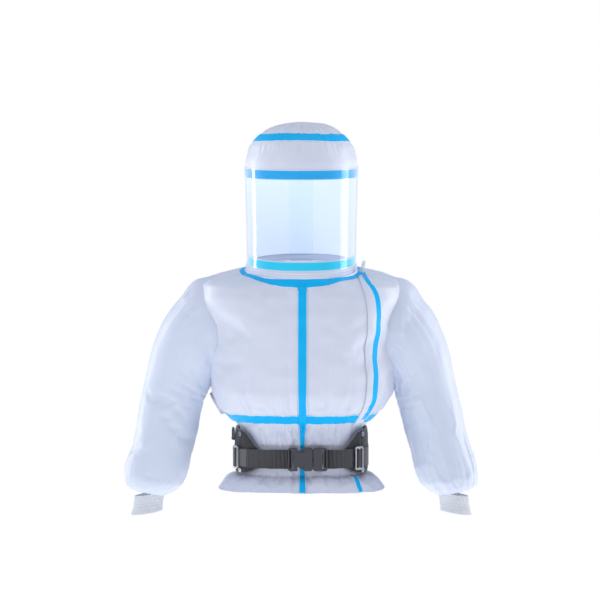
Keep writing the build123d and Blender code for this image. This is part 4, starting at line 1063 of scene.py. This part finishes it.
# This stretch of webbing takes the lighter grey copy (kind 2): painted sheen.
panel_vertices, panel_faces, panel_kinds = strap(RING - 162, RING - 121.5, 2.4, 3.4, half_tall=18.5)
straps.append((panel_vertices, panel_faces, [2] * len(panel_kinds)))
STITCHES = [(112.5, 2.3), (107, 5.1), (60, 5.1), (RING - 123, 2.3), (RING - 116, 5.1), (RING - 33, 5.1)]
for along, out in STITCHES:
    for offset in (0, 2.4):
        low, _, outward, _ = belt_frame(along - offset, out, -17)
        straps += stitch_line(low, low + [0, 0, 34], 11, outward)
build("belt_webbing", straps, [LOOKS["black_webbing"], THREAD, WEBBING_PAINTED_SHEEN])

CHANNEL_STEP = 30
# Length along the belt, how deep the cushion goes there
PAD_DEPTH = [
    (0, 0.2), (90, 0.4), (160, 4.6), (250, 5.2), (440.5, 9.5), (640, 5.2), (720, 4.6), (790, 0.4), (881, 0.2),
]
WING_TOP = [(92, 21), (100, 30), (112, 45), (120, 55), (130, 59.5)]
WING_LOW = [(92, -21), (100, -25), (110, -31), (120, -34.5)]
pad_start = float(np.interp(92.4, ring_places[:60, 0], ring_length[:60]))
pad_along = np.linspace(pad_start, RING - pad_start, 420)
pad_places = belt_points(pad_along, 0, 0)
pad_reach = np.where(pad_places[:, 1] < 0, np.abs(pad_places[:, 0]), 200)
pad_top = np.interp(pad_reach, *zip(*WING_TOP))
pad_low = np.interp(pad_reach, *zip(*WING_LOW))
share, along = grid((1 - np.cos(np.linspace(0, pi, 46))) / 2, pad_along)
z = pad_low[None, :] * (1 - share) + pad_top[None, :] * share
rim = np.minimum(share, 1 - share) * (pad_top - pad_low)[None, :]
end_rim = np.minimum(along - pad_start, RING - pad_start - along)
rim = np.minimum(rim, end_rim)
cushion = 1 - np.exp(-rim / 5)
from_back = along - RING / 2
channel = bell(from_back - CHANNEL_STEP * np.round(from_back / CHANNEL_STEP), 2.0)
strap_press = 1 - ease(np.abs(z), 17, 24)
outer_face = -2.4 + 1.6 * cushion + 1.5 * cushion * (1 - strap_press) * (1 - 0.6 * channel)
outer_face = np.minimum(outer_face, np.where(np.abs(z) < 21, -0.3, 1.2))
pad_depth = smooth_curve(*zip(*PAD_DEPTH), along)
inner_face = -3.4 - pad_depth * (0.35 + 0.65 * cushion)
pad_kind = np.where(rim[:-1, :-1] < 2.6, 1, 0)
pad = build(
    "belt_pad", [slab(belt_points(along, outer_face, z), belt_points(along, inner_face, z), kind=pad_kind)],
    [LOOKS["black_pad"], BINDING],
)

# ---- air hose and keepers
HOSE_ROUTE = [
    (54, 163, 82), (54, 163, 130), (45, 161, 190), (22, 159.5, 255), (4, 161, 316), (0, 170, 361),
    (0, 170, 400),
]
HOSE_RADIUS, HOSE_BORE, HOSE_PITCH = 16, 13, 4.8
curve = bpy.data.curves.new("hose_route", "CURVE")
curve.dimensions = "3D"
curve.resolution_u = 40
spline = curve.splines.new("NURBS")
spline.points.add(len(HOSE_ROUTE) - 1)
for point, place in zip(spline.points, HOSE_ROUTE):
    point.co = (*[value * MM for value in place], 1)
spline.order_u = 3
spline.use_endpoint_u = True
route_object = bpy.data.objects.new("hose_route", curve)
route_mesh = bpy.data.meshes.new_from_object(route_object)
route = np.array([tuple(vertex.co) for vertex in route_mesh.vertices]) / MM
bpy.data.objects.remove(route_object)
bpy.data.meshes.remove(route_mesh)
route_length = running_length(route)
steps = np.arange(0, route_length[-1], HOSE_PITCH / 8)
line = np.stack([np.interp(steps, route_length, route[:, k]) for k in range(3)], axis=1)
ahead = unit(np.gradient(line, axis=0))
side_way = unit(np.cross(ahead, [0, 1, 0]))
up_way = np.cross(side_way, ahead)
spin = np.arange(40) / 40
wave = np.cos(tau * steps / HOSE_PITCH)
plain = np.minimum(steps, route_length[-1] - steps) < 9
hose_outer = np.where(plain, 15.4, HOSE_RADIUS - 1.2 + 1.2 * np.sign(wave) * np.abs(wave) ** 0.5)
tubes = []
for radius in (hose_outer, np.full(len(steps), float(HOSE_BORE))):
    ray = circle(spin, side_way[:, None], up_way[:, None])
    tubes.append(line[:, None] + radius[:, None, None] * ray)
build("air_hose", [slab(*tubes, wrap=True)], [LOOKS["hose_plastic"]])

KEEPER_TALL, KEEPER_IN, KEEPER_THICK, TAB = 20, 17.0, 1.5, 13
corners = np.array(HOSE_ROUTE, float)
keepers = []
for k in (1, 2, 3):
    middle = (corners[k] + corners[k + 1]) / 2
    nearest = int(np.argmin(np.linalg.norm(line - middle, axis=1)))
    middle, ahead_here = line[nearest], ahead[nearest]
    across_here = side_way[nearest]
    arc = np.linspace(-1, 1, 33) * pi / 2
    loops = []
    for lift in (KEEPER_THICK, 0):
        radius = KEEPER_IN + lift
        profile = []
        width = np.linspace(-KEEPER_TALL / 2, KEEPER_TALL / 2, 13)
        for step in width:
            base_point = middle + ahead_here * step
            left, right = base_point - across_here * radius, base_point + across_here * radius
            tab_left, tab_right = left - across_here * (TAB - lift), right + across_here * (TAB - lift)
            path = []
            for start, end, count in ((tab_left, left, 8), (right, tab_right, 8)):
                places = np.linspace(start, end, count)
                r, t = trunk.locate(places[:, 0], places[:, 2], back=True)
                path.append(trunk.sample(r, t, np.full(count, 0.6 + lift)))
            arch = np.sin(arc)[:, None] * across_here + np.cos(arc)[:, None] * np.array([0, 1, 0])
            over = base_point + radius * arch
            legs = []
            for foot, top in ((path[0][-1], over[0]), (over[-1], path[1][0])):
                legs.append(np.linspace(foot, top, 8)[1:-1])
            profile.append(np.concatenate([path[0], legs[0], over, legs[1], path[1]]))
        loops.append(np.array(profile))
    keepers.append(slab(*loops))
build("hose_keepers", keepers, [LOOKS["white_knit"]])

# ---- stage, light and camera
FLOOR_Z, FLOOR_HALF, FLOOR_GLOW = -1.05, 600, 0.66
floor_mesh = bpy.data.meshes.new("floor")
floor_corners = [(x * FLOOR_HALF, y * FLOOR_HALF, FLOOR_Z) for x, y in ((-1, -1), (1, -1), (1, 1), (-1, 1))]
floor_mesh.from_pydata(floor_corners, [], [(0, 1, 2, 3)])
floor = place_object("floor", floor_mesh)
floor_look = finish("floor_white", (0.9, 0.9, 0.9), (0.88, 0.88, 0.88), 0.9, bumps=[("grain", 8, 0.5, 0.1)])
floor_shader = next(n for n in floor_look.node_tree.nodes if n.type == "BSDF_PRINCIPLED")
floor_shader.inputs["Emission Color"].default_value = (1, 1, 1, 1)
floor_shader.inputs["Emission Strength"].default_value = FLOOR_GLOW
floor_mesh.materials.append(floor_look)

world = bpy.data.worlds.new("studio")
bpy.context.scene.world = world
world.use_nodes = True
tree = world.node_tree
tree.nodes.clear()
ambient = add_node(tree, "Background", Color=(0.86, 0.89, 1.0, 1.0), Strength=0.45)
backdrop = add_node(tree, "Background", Color=(1.0, 1.0, 1.0, 1.0), Strength=1.05)
seen = add_node(tree, "LightPath").outputs["Is Camera Ray"]
sky = add_node(tree, "MixShader", i0=seen, i1=ambient.outputs[0], i2=backdrop.outputs[0])
add_node(tree, "OutputWorld", Surface=sky.outputs[0])


def softbox(name, place, aim, size, power, colour=(1.0, 1.0, 1.0)):
    light = bpy.data.lights.new(name, "AREA")
    light.shape = "RECTANGLE"
    light.size, light.size_y = size
    light.energy = power
    light.color = colour
    lamp = place_object(name, light)
    lamp.location = place
    lamp.rotation_euler = (Vector(aim) - Vector(place)).to_track_quat("-Z", "Y").to_euler()


MIDDLE = (0.0, 0.0, 0.35)
softbox("left_panel", (-2.3, 1.25, 0.7), MIDDLE, (0.45, 2.2), 26)
softbox("right_panel", (2.4, 0.55, 0.7), MIDDLE, (1.1, 2.2), 30)
softbox("left_front", (-2.6, -2.2, 1.6), MIDDLE, (1.6, 1.6), 18, (0.96, 0.98, 1.0))
softbox("top", (0.2, -0.6, 3.0), MIDDLE, (2.4, 2.0), 18)

CAMERA_TARGET = Vector((-0.003, 0.0, 0.333))
CAMERA_DISTANCE, CAMERA_RISE, LENS, SENSOR, FAR_CLIP = 12.0, 4.0, 334.8, 36, 2000
rise = radians(CAMERA_RISE)
camera_data = bpy.data.cameras.new("camera")
camera_data.lens = LENS
camera_data.sensor_width = SENSOR
camera_data.clip_end = FAR_CLIP
camera = place_object("camera", camera_data)
camera.location = CAMERA_TARGET + CAMERA_DISTANCE * Vector((0, -cos(rise), sin(rise)))
camera.rotation_euler = (pi / 2 - rise, 0, 0)
bpy.context.scene.camera = camera
bpy.context.scene.view_settings.view_transform = "Standard"
